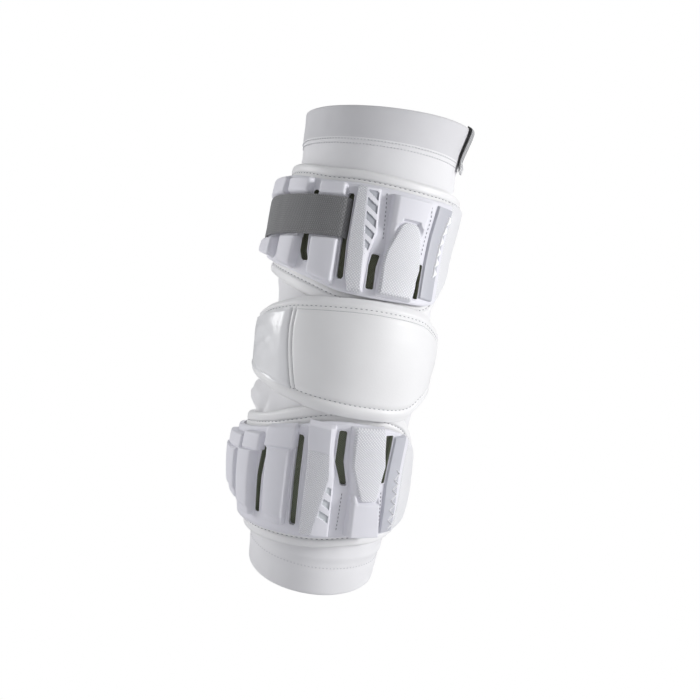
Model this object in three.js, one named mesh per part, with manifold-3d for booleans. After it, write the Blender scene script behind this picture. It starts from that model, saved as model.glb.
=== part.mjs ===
// Lacrosse arm pad: a knitted arm sleeve with two moulded caps, an elbow wrap, a biceps strap and a pull tab.
// Millimetres, +Z up along the arm, the protected outside of the arm towards -Y, +X to the viewer's right.
// The origin is on the arm's axis at the elbow.
import * as THREE from 'three';
import Module from 'manifold-3d';

// Driving dimensions of the sleeve, in millimetres and degrees
const upper_length = 163.5;
const forearm_length = 169;
const rim_skew = 3.5;
const skew_from = 0.72;
const cuff_bow = 5;
const bow_from = 0.8;
const elbow_width = 106;
const elbow_depth = 100;
const upper_lean = 7;
const forearm_lean = 19;
const bend_length = 90;
const sleeve_wall = 2.5;
const top_hem = 26;
const cuff_hem = 20;
const hem_fold = 0.8;

// Driving dimensions of the elbow wrap, measured along the arm's axis
const wrap_height = 65;
const wrap_thickness = 12;
const wrap_edge = 2.4;
const wrap_ramp = 6;
const film_thickness = 0.7;
const film_start = -37;
const film_end = -112;

// Driving dimensions of the caps
const border_width = 10;
const upper_shell_length = 73;
const lower_shell_length = 87;
const pad_thickness = 4.7;
const side_band_rise = 3;
const mesh_thickness = 0.8;
const mesh_inset = 1.5;
const shell_thickness = 3;
const rib_height = 6;
const rib_notch = 2.4;
const boss_height = 4.2;
const plate_thickness = 1.5;
const wing_thickness = 3;
const trim_thickness = 1.2;
const trim_teeth = 6;
const cap_left = -115;
const cap_right = 100;
const shell_left = -104;
const shell_right = 60;

// Driving dimensions of the strap and the pull tab
const strap_width = 28;
const strap_thickness = 1.8;
const strap_place = 81;
const channel_floor = 2.3;
const tab_length = 30;
const tab_width = 12;
const tab_thickness = 1.6;
const tab_bulge = 0.9;
const tab_turn = 82;

// Clearances, and the fineness of the facets
const gap = 0.3;
const seat_gap = 0.65;
const side_gap = 1;
const facet = 10;
const longest_step = 22;
const bend_step = 12.6;

// Sections of the arm: the place is a share of the upper or the forearm length, the sizes are shares of the elbow's
const sections = [
  { along: -1.0, width: 0.83, depth: 0.83 },
  { along: -0.71, width: 0.89, depth: 0.88 },
  { along: -0.36, width: 0.96, depth: 0.96 },
  { along: 0.0, width: 1.0, depth: 1.0 },
  { along: 0.37, width: 0.98, depth: 0.96 },
  { along: 0.73, width: 0.98, depth: 0.96 },
  { along: 0.92, width: 1.035, depth: 1.0 },
  { along: 1.0, width: 1.065, depth: 1.01 },
];

// Soft bulges and folds of the fabric: turn and spread in degrees, place and run as shares of the length there,
// rise as a share of the elbow's width
const folds = [
  { turn: -92, spread: 95, along: 0.54, run: 0.5, rise: 0.038 },
  { turn: -92, spread: 95, along: -0.49, run: 0.46, rise: 0.064 },
  { turn: -92, spread: 44, along: -0.235, run: 0.085, rise: 0.075 },
  { turn: -92, spread: 60, along: 0.3, run: 0.16, rise: 0.03 },
  { turn: 90, spread: 80, along: 0.66, run: 0.25, rise: 0.03 },
  { turn: 90, spread: 80, along: -0.62, run: 0.28, rise: 0.04 },
  { turn: 90, spread: 70, along: 1.0, run: 0.14, rise: 0.02 },
];

// Outline of the elbow wrap: upper and lower edge as shares of half its height, rise as a share of its thickness
const wrap_outline = [
  { deg: -180, top: 0.5, low: 0.5, rise: 0.32 },
  { deg: -135, top: 0.48, low: 0.52, rise: 0.36 },
  { deg: -108, top: 0.5, low: 0.58, rise: 0.72 },
  { deg: -82, top: 0.56, low: 0.76, rise: 1.06 },
  { deg: -62, top: 0.74, low: 0.82, rise: 1.0 },
  { deg: -37, top: 0.87, low: 0.9, rise: 0.96 },
  { deg: -4, top: 0.97, low: 0.95, rise: 1.0 },
  { deg: 18, top: 1.0, low: 0.98, rise: 1.0 },
  { deg: 49, top: 0.97, low: 1.0, rise: 0.94 },
  { deg: 65, top: 0.84, low: 0.84, rise: 0.84 },
  { deg: 88, top: 0.62, low: 0.64, rise: 0.72 },
  { deg: 115, top: 0.5, low: 0.52, rise: 0.4 },
  { deg: 180, top: 0.5, low: 0.5, rise: 0.32 },
];

// Caps: near is how far the shell's elbow edge draws back, far how its other edge shifts, as shares of the
// shell's length. Ribs, boss and wing run from the elbow edge (0) to the far edge (1), with their two sides in
// degrees and their rise as a share of the rib height. Slots have the same places and no rise. A rib's slant is how
// much further along its elbow end lies on its right side than on its left one. The zigzag follows its line with
// teeth that swing to the two sides and are wide and narrow by turns, all in degrees.
const upper_cap = {
  name: 'upper',
  side: 1,
  length: upper_shell_length,
  edges: [
    { deg: -115, near: 0.36, far: 0.06 },
    { deg: -85, near: 0.26, far: 0.06 },
    { deg: -60, near: 0.16, far: 0.04 },
    { deg: -34, near: 0.07, far: 0 },
    { deg: -10, near: 0, far: 0 },
    { deg: 30, near: 0, far: -0.01 },
    { deg: 57, near: 0.05, far: 0 },
    { deg: 72, near: 0.24, far: 0 },
    { deg: 86, near: 0.44, far: 0 },
    { deg: 100, near: 0.44, far: 0 },
  ],
  ribs: [
    { low: 0.29, high: 1.03, slant: -9, low_left: -101, low_right: -67, high_left: -101, high_right: -63 },
    { low: 0.15, high: 1.01, slant: -3.6, low_left: -58, low_right: -45, high_left: -60, high_right: -41 },
    { low: 0.062, high: 0.985, slant: -4.2, low_left: -34, low_right: -16, high_left: -35, high_right: -17 },
  ],
  ridge: [
    { along: 0.01, left: -7, crest: 1, right: 3, rise: 0.8 },
    { along: 0.12, left: -10, crest: 0, right: 3, rise: 1 },
    { along: 0.35, left: -11, crest: -1, right: 3, rise: 1 },
    { along: 0.55, left: -11.5, crest: -3, right: 6, rise: 1 },
    { along: 0.975, left: -11, crest: -5, right: 4, rise: 0.9 },
  ],
  boss: [
    { along: 0.01, left: 10, right: 35, rise: 0.9 },
    { along: 0.12, left: 10, right: 36, rise: 1 },
    { along: 0.45, left: 12, right: 36, rise: 1 },
    { along: 0.72, left: 11, right: 35, rise: 1 },
    { along: 0.77, left: 11.5, right: 36, rise: 1.4 },
    { along: 0.95, left: 10.5, right: 38, rise: 1.2 },
  ],
  plate: [
    { along: 0.025, left: 12.4, right: 32.5 },
    { along: 0.3, left: 13, right: 35 },
    { along: 0.58, left: 16.5, right: 32.5 },
    { along: 0.69, left: 20, right: 28.5 },
  ],
  wing: [
    { along: 0.07, left: 41, right: 50.5 },
    { along: 0.35, left: 41.2, right: 50.5 },
    { along: 0.65, left: 42.5, right: 51.5 },
    { along: 0.95, left: 46.5, right: 54 },
  ],
  zigzag: {
    swing: 0.4,
    wide: 1.6,
    narrow: 0.5,
    line: [
      { along: 0.26, middle: 47.8 },
      { along: 0.38, middle: 48.5 },
      { along: 0.66, middle: 49.6 },
      { along: 0.88, middle: 51.8 },
    ],
  },
  slots: [
    [{ along: 0.21, left: -41, right: -35.8 }, { along: 0.3, left: -43.6, right: -38 },
      { along: 0.45, left: -43.8, right: -38.6 }, { along: 0.89, left: -40.5, right: -36.6 }],
    [{ along: 0.09, left: -15.2, right: -10.6 }, { along: 0.4, left: -16, right: -12.2 },
      { along: 0.89, left: -16.6, right: -12.4 }],
    [{ along: 0.05, left: 4, right: 9.3 }, { along: 0.24, left: 3.5, right: 8.8 },
      { along: 0.36, left: 4.5, right: 10.2 }],
    [{ along: 0.06, left: 36.6, right: 40 }, { along: 0.36, left: 36.8, right: 40.4 }],
  ],
};
const lower_cap = {
  name: 'lower',
  side: -1,
  length: lower_shell_length,
  edges: [
    { deg: -115, near: 0.44, far: 0.1 },
    { deg: -85, near: 0.34, far: 0.1 },
    { deg: -65, near: 0.26, far: 0.08 },
    { deg: -29, near: 0.1, far: 0.03 },
    { deg: -2, near: 0.01, far: 0 },
    { deg: 25, near: 0.01, far: -0.04 },
    { deg: 53, near: 0.09, far: -0.05 },
    { deg: 70, near: 0.24, far: -0.08 },
    { deg: 86, near: 0.41, far: -0.1 },
    { deg: 100, near: 0.48, far: -0.1 },
  ],
  ribs: [
    { low: 0.35, high: 0.92, slant: -10, low_left: -100, low_right: -67, high_left: -100, high_right: -66 },
    { low: 0.25, high: 0.98, slant: -4.9, low_left: -64, low_right: -50, high_left: -63, high_right: -49 },
    { low: 0.135, high: 0.95, slant: -6, low_left: -40, low_right: -24, high_left: -37.5, high_right: -23 },
  ],
  ridge: [
    { along: 0.02, left: -16, crest: -1, right: 2, rise: 0.9 },
    { along: 0.2, left: -14, crest: 0, right: 3, rise: 1 },
    { along: 0.42, left: -13, crest: 2, right: 6, rise: 1 },
    { along: 0.965, left: -12, crest: -3.5, right: 9, rise: 0.9 },
  ],
  boss: [
    { along: 0.01, left: 10.5, right: 34, rise: 1 },
    { along: 0.3, left: 12.5, right: 38, rise: 1 },
    { along: 0.52, left: 16.5, right: 37.5, rise: 1 },
    { along: 0.64, left: 17, right: 38, rise: 1 },
    { along: 0.69, left: 17.5, right: 39, rise: 1.4 },
    { along: 0.94, left: 18.5, right: 43, rise: 1.2 },
  ],
  plate: [
    { along: 0.02, left: 13.5, right: 31 },
    { along: 0.3, left: 15, right: 36.5 },
    { along: 0.61, left: 24, right: 34.5 },
  ],
  wing: [
    { along: 0.1, left: 42.4, right: 50.5 },
    { along: 0.5, left: 42.2, right: 51.5 },
    { along: 0.92, left: 46, right: 54 },
  ],
  zigzag: {
    swing: 0.8,
    wide: 0.7,
    narrow: 0.7,
    line: [
      { along: 0.36, middle: 49.4 },
      { along: 0.5, middle: 49.2 },
      { along: 0.7, middle: 49.9 },
      { along: 0.9, middle: 51.4 },
    ],
  },
  slots: [
    [{ along: 0.33, left: -46.5, right: -42 }, { along: 0.6, left: -48.3, right: -44 },
      { along: 0.92, left: -48, right: -44 }],
    [{ along: 0.13, left: -22.4, right: -17.6 }, { along: 0.5, left: -21.6, right: -16.6 },
      { along: 0.92, left: -20, right: -15 }],
    [{ along: 0.05, left: 3.6, right: 9 }, { along: 0.3, left: 4.2, right: 10.2 },
      { along: 0.5, left: 10.4, right: 15 }],
    [{ along: 0.08, left: 35, right: 39.6 }, { along: 0.25, left: 37.8, right: 41.8 },
      { along: 0.48, left: 38.2, right: 41.2 }],
  ],
};

const rad = THREE.MathUtils.degToRad;
const lerp = THREE.MathUtils.lerp;
const clamp = THREE.MathUtils.clamp;

// Reads a column of a table at any place, on a smooth curve through the rows
function read(rows, place, column, x) {
  const last = rows.length - 1;
  let i = 0;
  while (i < last - 1 && rows[i + 1][place] < x) i += 1;
  const a = rows[i];
  const b = rows[i + 1];
  const span = b[place] - a[place];
  const t = clamp((x - a[place]) / span, 0, 1);
  const slope = (k) => {
    const before = rows[Math.max(k - 1, 0)];
    const after = rows[Math.min(k + 1, last)];
    return (span * (after[column] - before[column])) / (after[place] - before[place]);
  };
  const t2 = t * t;
  const t3 = t2 * t;
  return (2 * t3 - 3 * t2 + 1) * a[column] + (t3 - 2 * t2 + t) * slope(i)
    + (3 * t2 - 2 * t3) * b[column] + (t3 - t2) * slope(i + 1);
}

// Reads a column on straight lines between the rows
function read_straight(rows, place, column, x) {
  let i = 0;
  while (i < rows.length - 2 && rows[i + 1][place] < x) i += 1;
  const t = clamp((x - rows[i][place]) / (rows[i + 1][place] - rows[i][place]), 0, 1);
  return lerp(rows[i][column], rows[i + 1][column], t);
}

// Centre line of the arm: straight, an even bend through the elbow, straight
const half_bend = bend_length / 2;
const bend_rate = rad(upper_lean + forearm_lean) / bend_length;
const lean_at = (s) => rad(-forearm_lean) + bend_rate * (clamp(s, -half_bend, half_bend) + half_bend);
function centre_at(s) {
  const inside = clamp(s, -half_bend, half_bend);
  const lean = lean_at(s);
  const y = (Math.cos(lean_at(0)) - Math.cos(lean)) / bend_rate + (s - inside) * Math.sin(lean);
  const z = (Math.sin(lean) - Math.sin(lean_at(0))) / bend_rate + (s - inside) * Math.cos(lean);
  return { y, z, lean };
}

// A distance along the arm as a share of the length on its side of the elbow
const share_of = (s) => s / (s > 0 ? upper_length : forearm_length);

// A smooth swell that is 1 in its middle and 0 from one unit away
const swell = (x) => (Math.abs(x) < 1 ? Math.cos((x * Math.PI) / 2) ** 2 : 0);

// How far the fabric bulges out at a place
function bulge_at(deg, s) {
  let rise = 0;
  for (const fold of folds) {
    const turn = THREE.MathUtils.euclideanModulo(deg - fold.turn + 180, 360) - 180;
    const along = (share_of(s) - fold.along) / fold.run;
    rise += fold.rise * elbow_width * swell(turn / fold.spread) * swell(along);
  }
  return rise;
}

// A point on the arm: degrees round it from the front, distance along it from the elbow, height over the sleeve
function place(deg, s, height) {
  const turn = rad(deg);
  const share = share_of(s);
  const skew = rim_skew * Math.sin(turn) * clamp((share - skew_from) / (1 - skew_from), 0, 1);
  const bow = cuff_bow * (1 - Math.cos(turn)) * clamp((-share - bow_from) / (1 - bow_from), 0, 1);
  const { y, z, lean } = centre_at(s + skew + bow);
  const out = height + bulge_at(deg, s);
  const x = ((read(sections, 'along', 'width', share) * elbow_width) / 2 + out) * Math.sin(turn);
  const front = ((read(sections, 'along', 'depth', share) * elbow_depth) / 2 + out) * Math.cos(turn);
  return new THREE.Vector3(x, y - front * Math.cos(lean), z + front * Math.sin(lean));
}

// Evenly spaced values from one end to the other, no further apart than a step
function spread(from, to, step) {
  const count = Math.max(1, Math.ceil(Math.abs(to - from) / step - 1e-6));
  return Array.from({ length: count + 1 }, (_, i) => lerp(from, to, i / count));
}

// Columns round the arm: both ends, the whole facet steps between them, and any others named
function columns(from, to, others = []) {
  const steps = [];
  for (let deg = Math.ceil((from + 1) / facet) * facet; deg < to - 1; deg += facet) steps.push(deg);
  return [from, ...steps, ...others, to].sort((a, b) => a - b);
}

// Makes a geometry from points and triangles, turned so that its faces point out
function geometry_of(points, faces) {
  const volume = faces.reduce((sum, [a, b, c]) => {
    const cross = new THREE.Vector3().crossVectors(points[b], points[c]);
    return sum + points[a].dot(cross);
  }, 0);
  const index = faces.flatMap(([a, b, c]) => (volume > 0 ? [a, b, c] : [a, c, b]));
  const geometry = new THREE.BufferGeometry();
  const flat = points.flatMap((p) => [p.x, p.y, p.z]);
  geometry.setAttribute('position', new THREE.Float32BufferAttribute(flat, 3));
  geometry.setIndex(index);
  return geometry;
}

// Closes an outer and an inner grid of points into one solid; a ring joins its last column to its first
function close(outer, inner, ring = false) {
  const wide = outer.length;
  const high = outer[0].length;
  const points = [...outer.flat(), ...inner.flat()];
  const faces = [];
  const id = (layer, i, j) => (layer * wide + (i % wide)) * high + j;
  const quad = (a, b, c, d) => faces.push([a, b, c], [a, c, d]);
  const last = ring ? wide : wide - 1;
  for (let i = 0; i < last; i += 1) {
    for (let j = 0; j < high - 1; j += 1) {
      quad(id(0, i, j), id(0, i + 1, j), id(0, i + 1, j + 1), id(0, i, j + 1));
      quad(id(1, i, j), id(1, i, j + 1), id(1, i + 1, j + 1), id(1, i + 1, j));
    }
    quad(id(1, i, 0), id(1, i + 1, 0), id(0, i + 1, 0), id(0, i, 0));
    quad(id(0, i, high - 1), id(0, i + 1, high - 1), id(1, i + 1, high - 1), id(1, i, high - 1));
  }
  for (let j = 0; j < high - 1 && !ring; j += 1) {
    quad(id(0, 0, j), id(0, 0, j + 1), id(1, 0, j + 1), id(1, 0, j));
    quad(id(1, wide - 1, j), id(1, wide - 1, j + 1), id(0, wide - 1, j + 1), id(0, wide - 1, j));
  }
  return geometry_of(points, faces);
}

// A layer wrapped on the arm: rows_at gives a column's places along the arm, the heights are over the sleeve
function layer(degs, rows_at, low_height, high_height, ring = false) {
  const face = (height) => degs.map((deg, i) => rows_at(deg, i).map((s, j) => place(deg, s, height(deg, s, i, j))));
  return close(face(high_height), face(low_height), ring);
}

// Adds rows to a raised piece where two of its rows are far apart
function fill_rows(rows) {
  const filled = [rows[0]];
  for (let i = 1; i < rows.length; i += 1) {
    const [a, b] = [rows[i - 1], rows[i]];
    for (const t of spread(0, 1, longest_step / Math.abs(b.s - a.s)).slice(1)) {
      const row = { ...b };
      for (const key of Object.keys(a)) row[key] = lerp(a[key], b[key], t);
      filled.push(row);
    }
  }
  return filled;
}

// A raised piece between two slanting sides: across are its shares from the left side to the right one
function raised(given, across, base, top_at) {
  const rows = fill_rows(given);
  const face = (height) => across.map((u, i) => rows.map((row) => {
    const s = row.s + (row.slant || 0) * (u - 0.5);
    return place(lerp(row.left, row.right, u), s, height(row, i));
  }));
  return close(face((row, i) => base + top_at(row, i)), face(() => base));
}

// Shares across a raised piece: a narrow bevel at each side, with even steps between them
const bevel_share = 0.12;
function across_steps(rows) {
  const widest = Math.max(...rows.map((row) => row.right - row.left));
  return [0, ...spread(bevel_share, 1 - bevel_share, facet / widest), 1];
}

const pieces = new THREE.Group();
function add(name, geometry, color, roughness) {
  geometry.computeVertexNormals();
  const material = new THREE.MeshStandardMaterial({ color, roughness, metalness: 0 });
  const mesh = new THREE.Mesh(geometry, material);
  mesh.name = name;
  pieces.add(mesh);
}

const wasm = await Module();
wasm.setup();
function to_solid(geometry) {
  const vertProperties = new Float32Array(geometry.attributes.position.array);
  const triVerts = new Uint32Array(geometry.index.array);
  return new wasm.Manifold(new wasm.Mesh({ numProp: 3, vertProperties, triVerts }));
}
function from_solid(solid) {
  const mesh = solid.getMesh();
  const geometry = new THREE.BufferGeometry();
  geometry.setAttribute('position', new THREE.BufferAttribute(mesh.vertProperties, 3));
  geometry.setIndex(new THREE.BufferAttribute(mesh.triVerts, 1));
  return geometry;
}

// Colours of the materials
const white_knit = 0xe9e9ec;
const white_border = 0xf1f1f3;
const grey_foam = 0xbcbcc6;
const dark_mesh = 0x45492f;
const grey_web = 0x6c6c70;
const black_web = 0x1c1c1e;
const clear_film = 0xdedee4;
const trim_grey = 0xd0d0d6;

// Sleeve: one open tube with a folded hem at the top and at the cuff
function sleeve() {
  const cuff_line = -forearm_length + cuff_hem;
  const hem_line = upper_length - top_hem;
  const step = hem_fold * 3;
  const rows = [
    ...spread(-forearm_length, cuff_line - step, cuff_hem),
    ...spread(cuff_line, -half_bend - longest_step * 1.4, longest_step),
    ...spread(-half_bend - longest_step * 0.9, half_bend, bend_step),
    ...spread(half_bend + longest_step, hem_line, longest_step),
    hem_line + step,
    upper_length,
  ];
  const in_hem = (s) => s < cuff_line - step / 2 || s > hem_line + step / 2;
  const degs = spread(-180, 180, facet).slice(0, -1);
  return layer(degs, () => rows, () => -sleeve_wall, (deg, s) => (in_hem(s) ? hem_fold : 0), true);
}
add('sleeve', sleeve(), white_knit, 0.95);

// Heights of the layers over the sleeve
const pad_base = seat_gap;
const pad_top = pad_base + pad_thickness;
const mesh_base = pad_top + gap;
const mesh_top = mesh_base + mesh_thickness;
const shell_base = mesh_top + gap;
const shell_top = shell_base + shell_thickness;
const rib_base = shell_top + seat_gap;

// Edges of the elbow wrap, and the height of its outer face; t runs from its lower edge (0) to its upper one (1)
const half_wrap = wrap_height / 2;
const wrap_top_edge = (deg) => half_wrap * read(wrap_outline, 'deg', 'top', deg);
const wrap_low_edge = (deg) => -half_wrap * read(wrap_outline, 'deg', 'low', deg);
const wrap_profile = [
  { t: 0, height: 0.7 },
  { t: 0.08, height: 0.88 },
  { t: 0.3, height: 0.98 },
  { t: 0.5, height: 1 },
  { t: 0.7, height: 0.98 },
  { t: 0.92, height: 0.88 },
  { t: 1, height: 0.7 },
];
const wrap_rise = (deg) => wrap_thickness * read(wrap_outline, 'deg', 'rise', deg);
const wrap_height_at = (deg, t) => wrap_rise(deg) * read_straight(wrap_profile, 't', 'height', t);

// Edges of a cap's shell and of the padded border round it, as distances from the elbow
const cap_start = half_wrap + 1.5;
const shell_near = (cap, deg) => cap_start + cap.length * read(cap.edges, 'deg', 'near', deg);
const shell_far = (cap, deg) => cap_start + cap.length * (1 + read(cap.edges, 'deg', 'far', deg));
const pad_near = (cap, deg) => shell_near(cap, deg) - border_width;
const pad_far = (cap, deg) => shell_far(cap, deg) + border_width;

// Elbow wrap: a padded ring over the caps' borders, thinner round the inside of the elbow
function elbow_wrap() {
  const lift = pad_top + gap;
  const covers = (cap, deg, edge) => Math.abs(edge) > pad_near(cap, deg) - wrap_ramp;
  const rows_at = (deg) => {
    const low = wrap_low_edge(deg);
    const top = wrap_top_edge(deg);
    const inside_low = -pad_near(lower_cap, deg) + gap + side_gap;
    const inside_top = pad_near(upper_cap, deg) - gap - side_gap;
    const turn_low = Math.max(inside_low, lerp(low, top, 0.12));
    const turn_top = Math.min(inside_top, lerp(low, top, 0.88));
    return [low, lerp(low, top, 0.06), turn_low, turn_low + wrap_ramp, (low + top) / 2,
      turn_top - wrap_ramp, turn_top, lerp(low, top, 0.94), top];
  };
  const low_height = (deg, s, i, j) => {
    if (j <= 2 && covers(lower_cap, deg, wrap_low_edge(deg))) return lift;
    if (j >= 6 && covers(upper_cap, deg, wrap_top_edge(deg))) return lift;
    return seat_gap;
  };
  const high_height = (deg, s, i, j) => {
    const t = (s - wrap_low_edge(deg)) / (wrap_top_edge(deg) - wrap_low_edge(deg));
    return Math.max(wrap_height_at(deg, t), low_height(deg, s, i, j) + wrap_edge);
  };
  const degs = spread(-180, 180, facet).slice(0, -1);
  return layer(degs, rows_at, low_height, high_height, true);
}
add('elbow_wrap', elbow_wrap(), white_border, 0.7);

// Smooth end panel of the wrap: a thin skin with a round end, on the wrap's left side
function wrap_end_patch() {
  const degs = columns(film_end, film_start, [film_end + 2, film_end + 5]);
  const reach = (deg) => {
    const run = clamp((deg - film_end) / 24, 0, 1);
    return 0.14 + 0.26 * Math.sqrt(1 - (1 - run) ** 2);
  };
  const rows = [-1, -0.6, 0, 0.6, 1];
  const rows_at = (deg) => rows.map((v) => (
    lerp(wrap_low_edge(deg), wrap_top_edge(deg), 0.5 + v * reach(deg))));
  const base = (deg, s, i, j) => wrap_height_at(deg, 0.5 + rows[j] * reach(deg)) + seat_gap;
  const top = (deg, s, i, j) => base(deg, s, i, j) + film_thickness;
  return layer(degs, rows_at, base, top);
}
add('wrap_end_patch', wrap_end_patch(), clear_film, 0.2);

// Places of a layer's rows at a column of a cap: its two edges, then the rows that all of the cap's layers share
const shared_rows = [0.2, 0.5, 0.8];
function cap_rows(cap, deg, near_rows, far_rows) {
  const near = shell_near(cap, deg);
  const far = shell_far(cap, deg);
  const shared = shared_rows.map((t) => lerp(near, far, t));
  const places = [...near_rows.map((d) => near + d), ...shared, ...far_rows.map((d) => far + d)];
  return places.map((s) => cap.side * s);
}

// Place along the arm of a share of a cap's shell
const along_cap = (cap, along) => cap.side * (cap_start + cap.length * along);

// Padded border and backing of a cap, thicker in a band down its right side
function cap_pad(cap) {
  const band_left = shell_right + 1;
  const round = 2;
  const soft = 6;
  const degs = columns(cap_left, cap_right, [cap_left + 3, band_left, band_left + 3, cap_right - 5]);
  const edge_rows = [-border_width, round - border_width, soft - border_width];
  const rows_at = (deg) => cap_rows(cap, deg, edge_rows, edge_rows.map((d) => -d).reverse());
  const last = degs.length - 1;
  const high = (deg, s, i, j) => {
    const rows = rows_at(deg).length;
    const edge = Math.min(j, rows - 1 - j);
    const band = deg > band_left + 1 && deg < cap_right - 1 ? side_band_rise : 0;
    if (i === 0 || i === last) return pad_top * (edge === 0 ? 0.45 : 0.6);
    if (edge === 0) return pad_top * 0.72;
    if (edge === 1) return pad_top;
    return pad_top + band * (edge === 2 ? 0.5 : 1);
  };
  return layer(degs, rows_at, () => pad_base, high);
}

// Dark mesh lining that shows through the shell's slots
function cap_mesh(cap) {
  const degs = columns(shell_left + 1, shell_right - 1);
  const rows_at = (deg) => cap_rows(cap, deg, [mesh_inset], [-mesh_inset]);
  return layer(degs, rows_at, () => mesh_base, () => mesh_top);
}

// Moulded shell with its slots cut right through
function cap_shell(cap) {
  const round = 2;
  const degs = columns(shell_left, shell_right);
  const rows_at = (deg) => cap_rows(cap, deg, [0, round], [-round, 0]);
  const last = degs.length - 1;
  const high = (deg, s, i, j) => {
    const rows = rows_at(deg).length;
    const on_edge = j === 0 || j === rows - 1 || i === 0 || i === last;
    return on_edge ? shell_top - shell_thickness * 0.35 : shell_top;
  };
  let solid = to_solid(layer(degs, rows_at, () => shell_base, high));
  for (const slot of cap.slots) {
    const rows = slot.map((row) => ({ ...row, s: along_cap(cap, row.along) }));
    const low = shell_base - mesh_thickness;
    const cutter = raised(rows, [0, 1], low, () => shell_thickness * 2 + mesh_thickness);
    solid = solid.subtract(to_solid(cutter));
  }
  return from_solid(solid);
}

// One moulded rib: a notch parts its elbow block from its far block, and the strap's channel is that notch
// where the strap lies over it
function rib(cap, spec) {
  const channel = cap.side > 0;
  const clear = strap_width / 2 + side_gap;
  const from = channel ? strap_place - clear : cap_start + cap.length * (spec.low + 0.1);
  const to = channel ? strap_place + clear : from + rib_notch;
  const floor = channel ? channel_floor / rib_height : 0.4;
  const near_rise = channel ? 1 : 0.7;
  const far_rise = channel ? 0.85 : 1;
  const wall = 0.8;
  const side_at = (s, high, low) => {
    const t = (s - cap_start - cap.length * spec.low) / (cap.length * (spec.high - spec.low));
    return lerp(low, high, t);
  };
  const stations = [
    [cap_start + cap.length * spec.low, 0.6, 1],
    [cap_start + cap.length * spec.low + 2, near_rise, 1],
    [from - wall, near_rise],
    [from, floor],
    [to, floor],
    [to + wall, far_rise],
    [cap_start + cap.length * spec.high - 2, far_rise],
    [cap_start + cap.length * spec.high, 0.5],
  ];
  const rows = stations.map(([s, rise, slanted = 0]) => ({
    s: cap.side * s,
    left: side_at(s, spec.high_left, spec.low_left),
    right: side_at(s, spec.high_right, spec.low_right),
    rise,
    slant: cap.side * spec.slant * slanted,
  }));
  const across = across_steps(rows);
  const last = across.length - 1;
  const top_at = (row, i) => rib_height * row.rise * (i === 0 || i === last ? 0.7 : 1);
  return raised(rows, across, rib_base, top_at);
}

// Ridge rib: two slopes that meet on a crest
function ridge_rib(cap) {
  const rows = fill_rows(cap.ridge.map((row) => ({ ...row, s: along_cap(cap, row.along) })));
  const heights = [0.5, 0.72, 1, 0.55, 0.35];
  const face = (height) => heights.map((share, i) => rows.map((row) => {
    const bevel = (row.right - row.left) * bevel_share;
    const stops = [row.left, row.left + bevel, row.crest, row.right - bevel / 2, row.right];
    return place(stops[i], row.s, height(row, share));
  }));
  return close(face((row, share) => rib_base + rib_height * row.rise * share), face(() => rib_base));
}

// Boss: a long block with a bevelled left side and a smooth raised head at its far end
function boss(cap) {
  const rows = cap.boss.map((row) => ({ ...row, s: along_cap(cap, row.along) }));
  const across = [0, 0.14, 0.4, 0.65, 0.92, 1];
  const shares = [0.35, 1, 1, 1, 1, 0.5];
  return raised(rows, across, rib_base, (row, i) => boss_height * row.rise * shares[i]);
}

// Plate on the boss, between the elbow end and the head
function boss_plate(cap) {
  const rows = cap.plate.map((row) => ({ ...row, s: along_cap(cap, row.along) }));
  const base = rib_base + boss_height + seat_gap;
  return raised(rows, [0, 0.35, 0.65, 1], base, () => plate_thickness);
}

// Smooth side wing at the shell's right edge
function side_wing(cap) {
  const rows = cap.wing.map((row) => ({ ...row, s: along_cap(cap, row.along) }));
  const shares = [0.5, 1, 1, 0.6];
  return raised(rows, [0, 0.2, 0.8, 1], rib_base, (row, i) => wing_thickness * shares[i]);
}

// Zigzag trim on the wing, towards its right side
function zigzag_trim(cap) {
  const { swing, wide, narrow, line } = cap.zigzag;
  const first = line[0].along;
  const last = line[line.length - 1].along;
  const rows = [];
  for (let i = 0; i <= trim_teeth * 2; i += 1) {
    const along = lerp(first, last, i / (trim_teeth * 2));
    const tooth = i % 2 === 1;
    const middle = read_straight(line, 'along', 'middle', along) + (tooth ? swing : -swing);
    const half = tooth ? wide : narrow;
    rows.push({ s: along_cap(cap, along), left: middle - half, right: middle + half });
  }
  return raised(rows, [0, 1], rib_base + wing_thickness + seat_gap, () => trim_thickness);
}

for (const cap of [upper_cap, lower_cap]) {
  add(`${cap.name}_cap_pad`, cap_pad(cap), white_border, 0.75);
  add(`${cap.name}_mesh`, cap_mesh(cap), dark_mesh, 0.9);
  add(`${cap.name}_shell`, cap_shell(cap), grey_foam, 0.65);
  cap.ribs.forEach((spec, i) => add(`${cap.name}_rib_${i + 1}`, rib(cap, spec), grey_foam, 0.65));
  add(`${cap.name}_ridge_rib`, ridge_rib(cap), grey_foam, 0.65);
  add(`${cap.name}_boss`, boss(cap), grey_foam, 0.6);
  add(`${cap.name}_boss_plate`, boss_plate(cap), grey_foam, 0.8);
  add(`${cap.name}_side_wing`, side_wing(cap), trim_grey, 0.5);
  add(`${cap.name}_zigzag_trim`, zigzag_trim(cap), grey_foam, 0.6);
}

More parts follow.
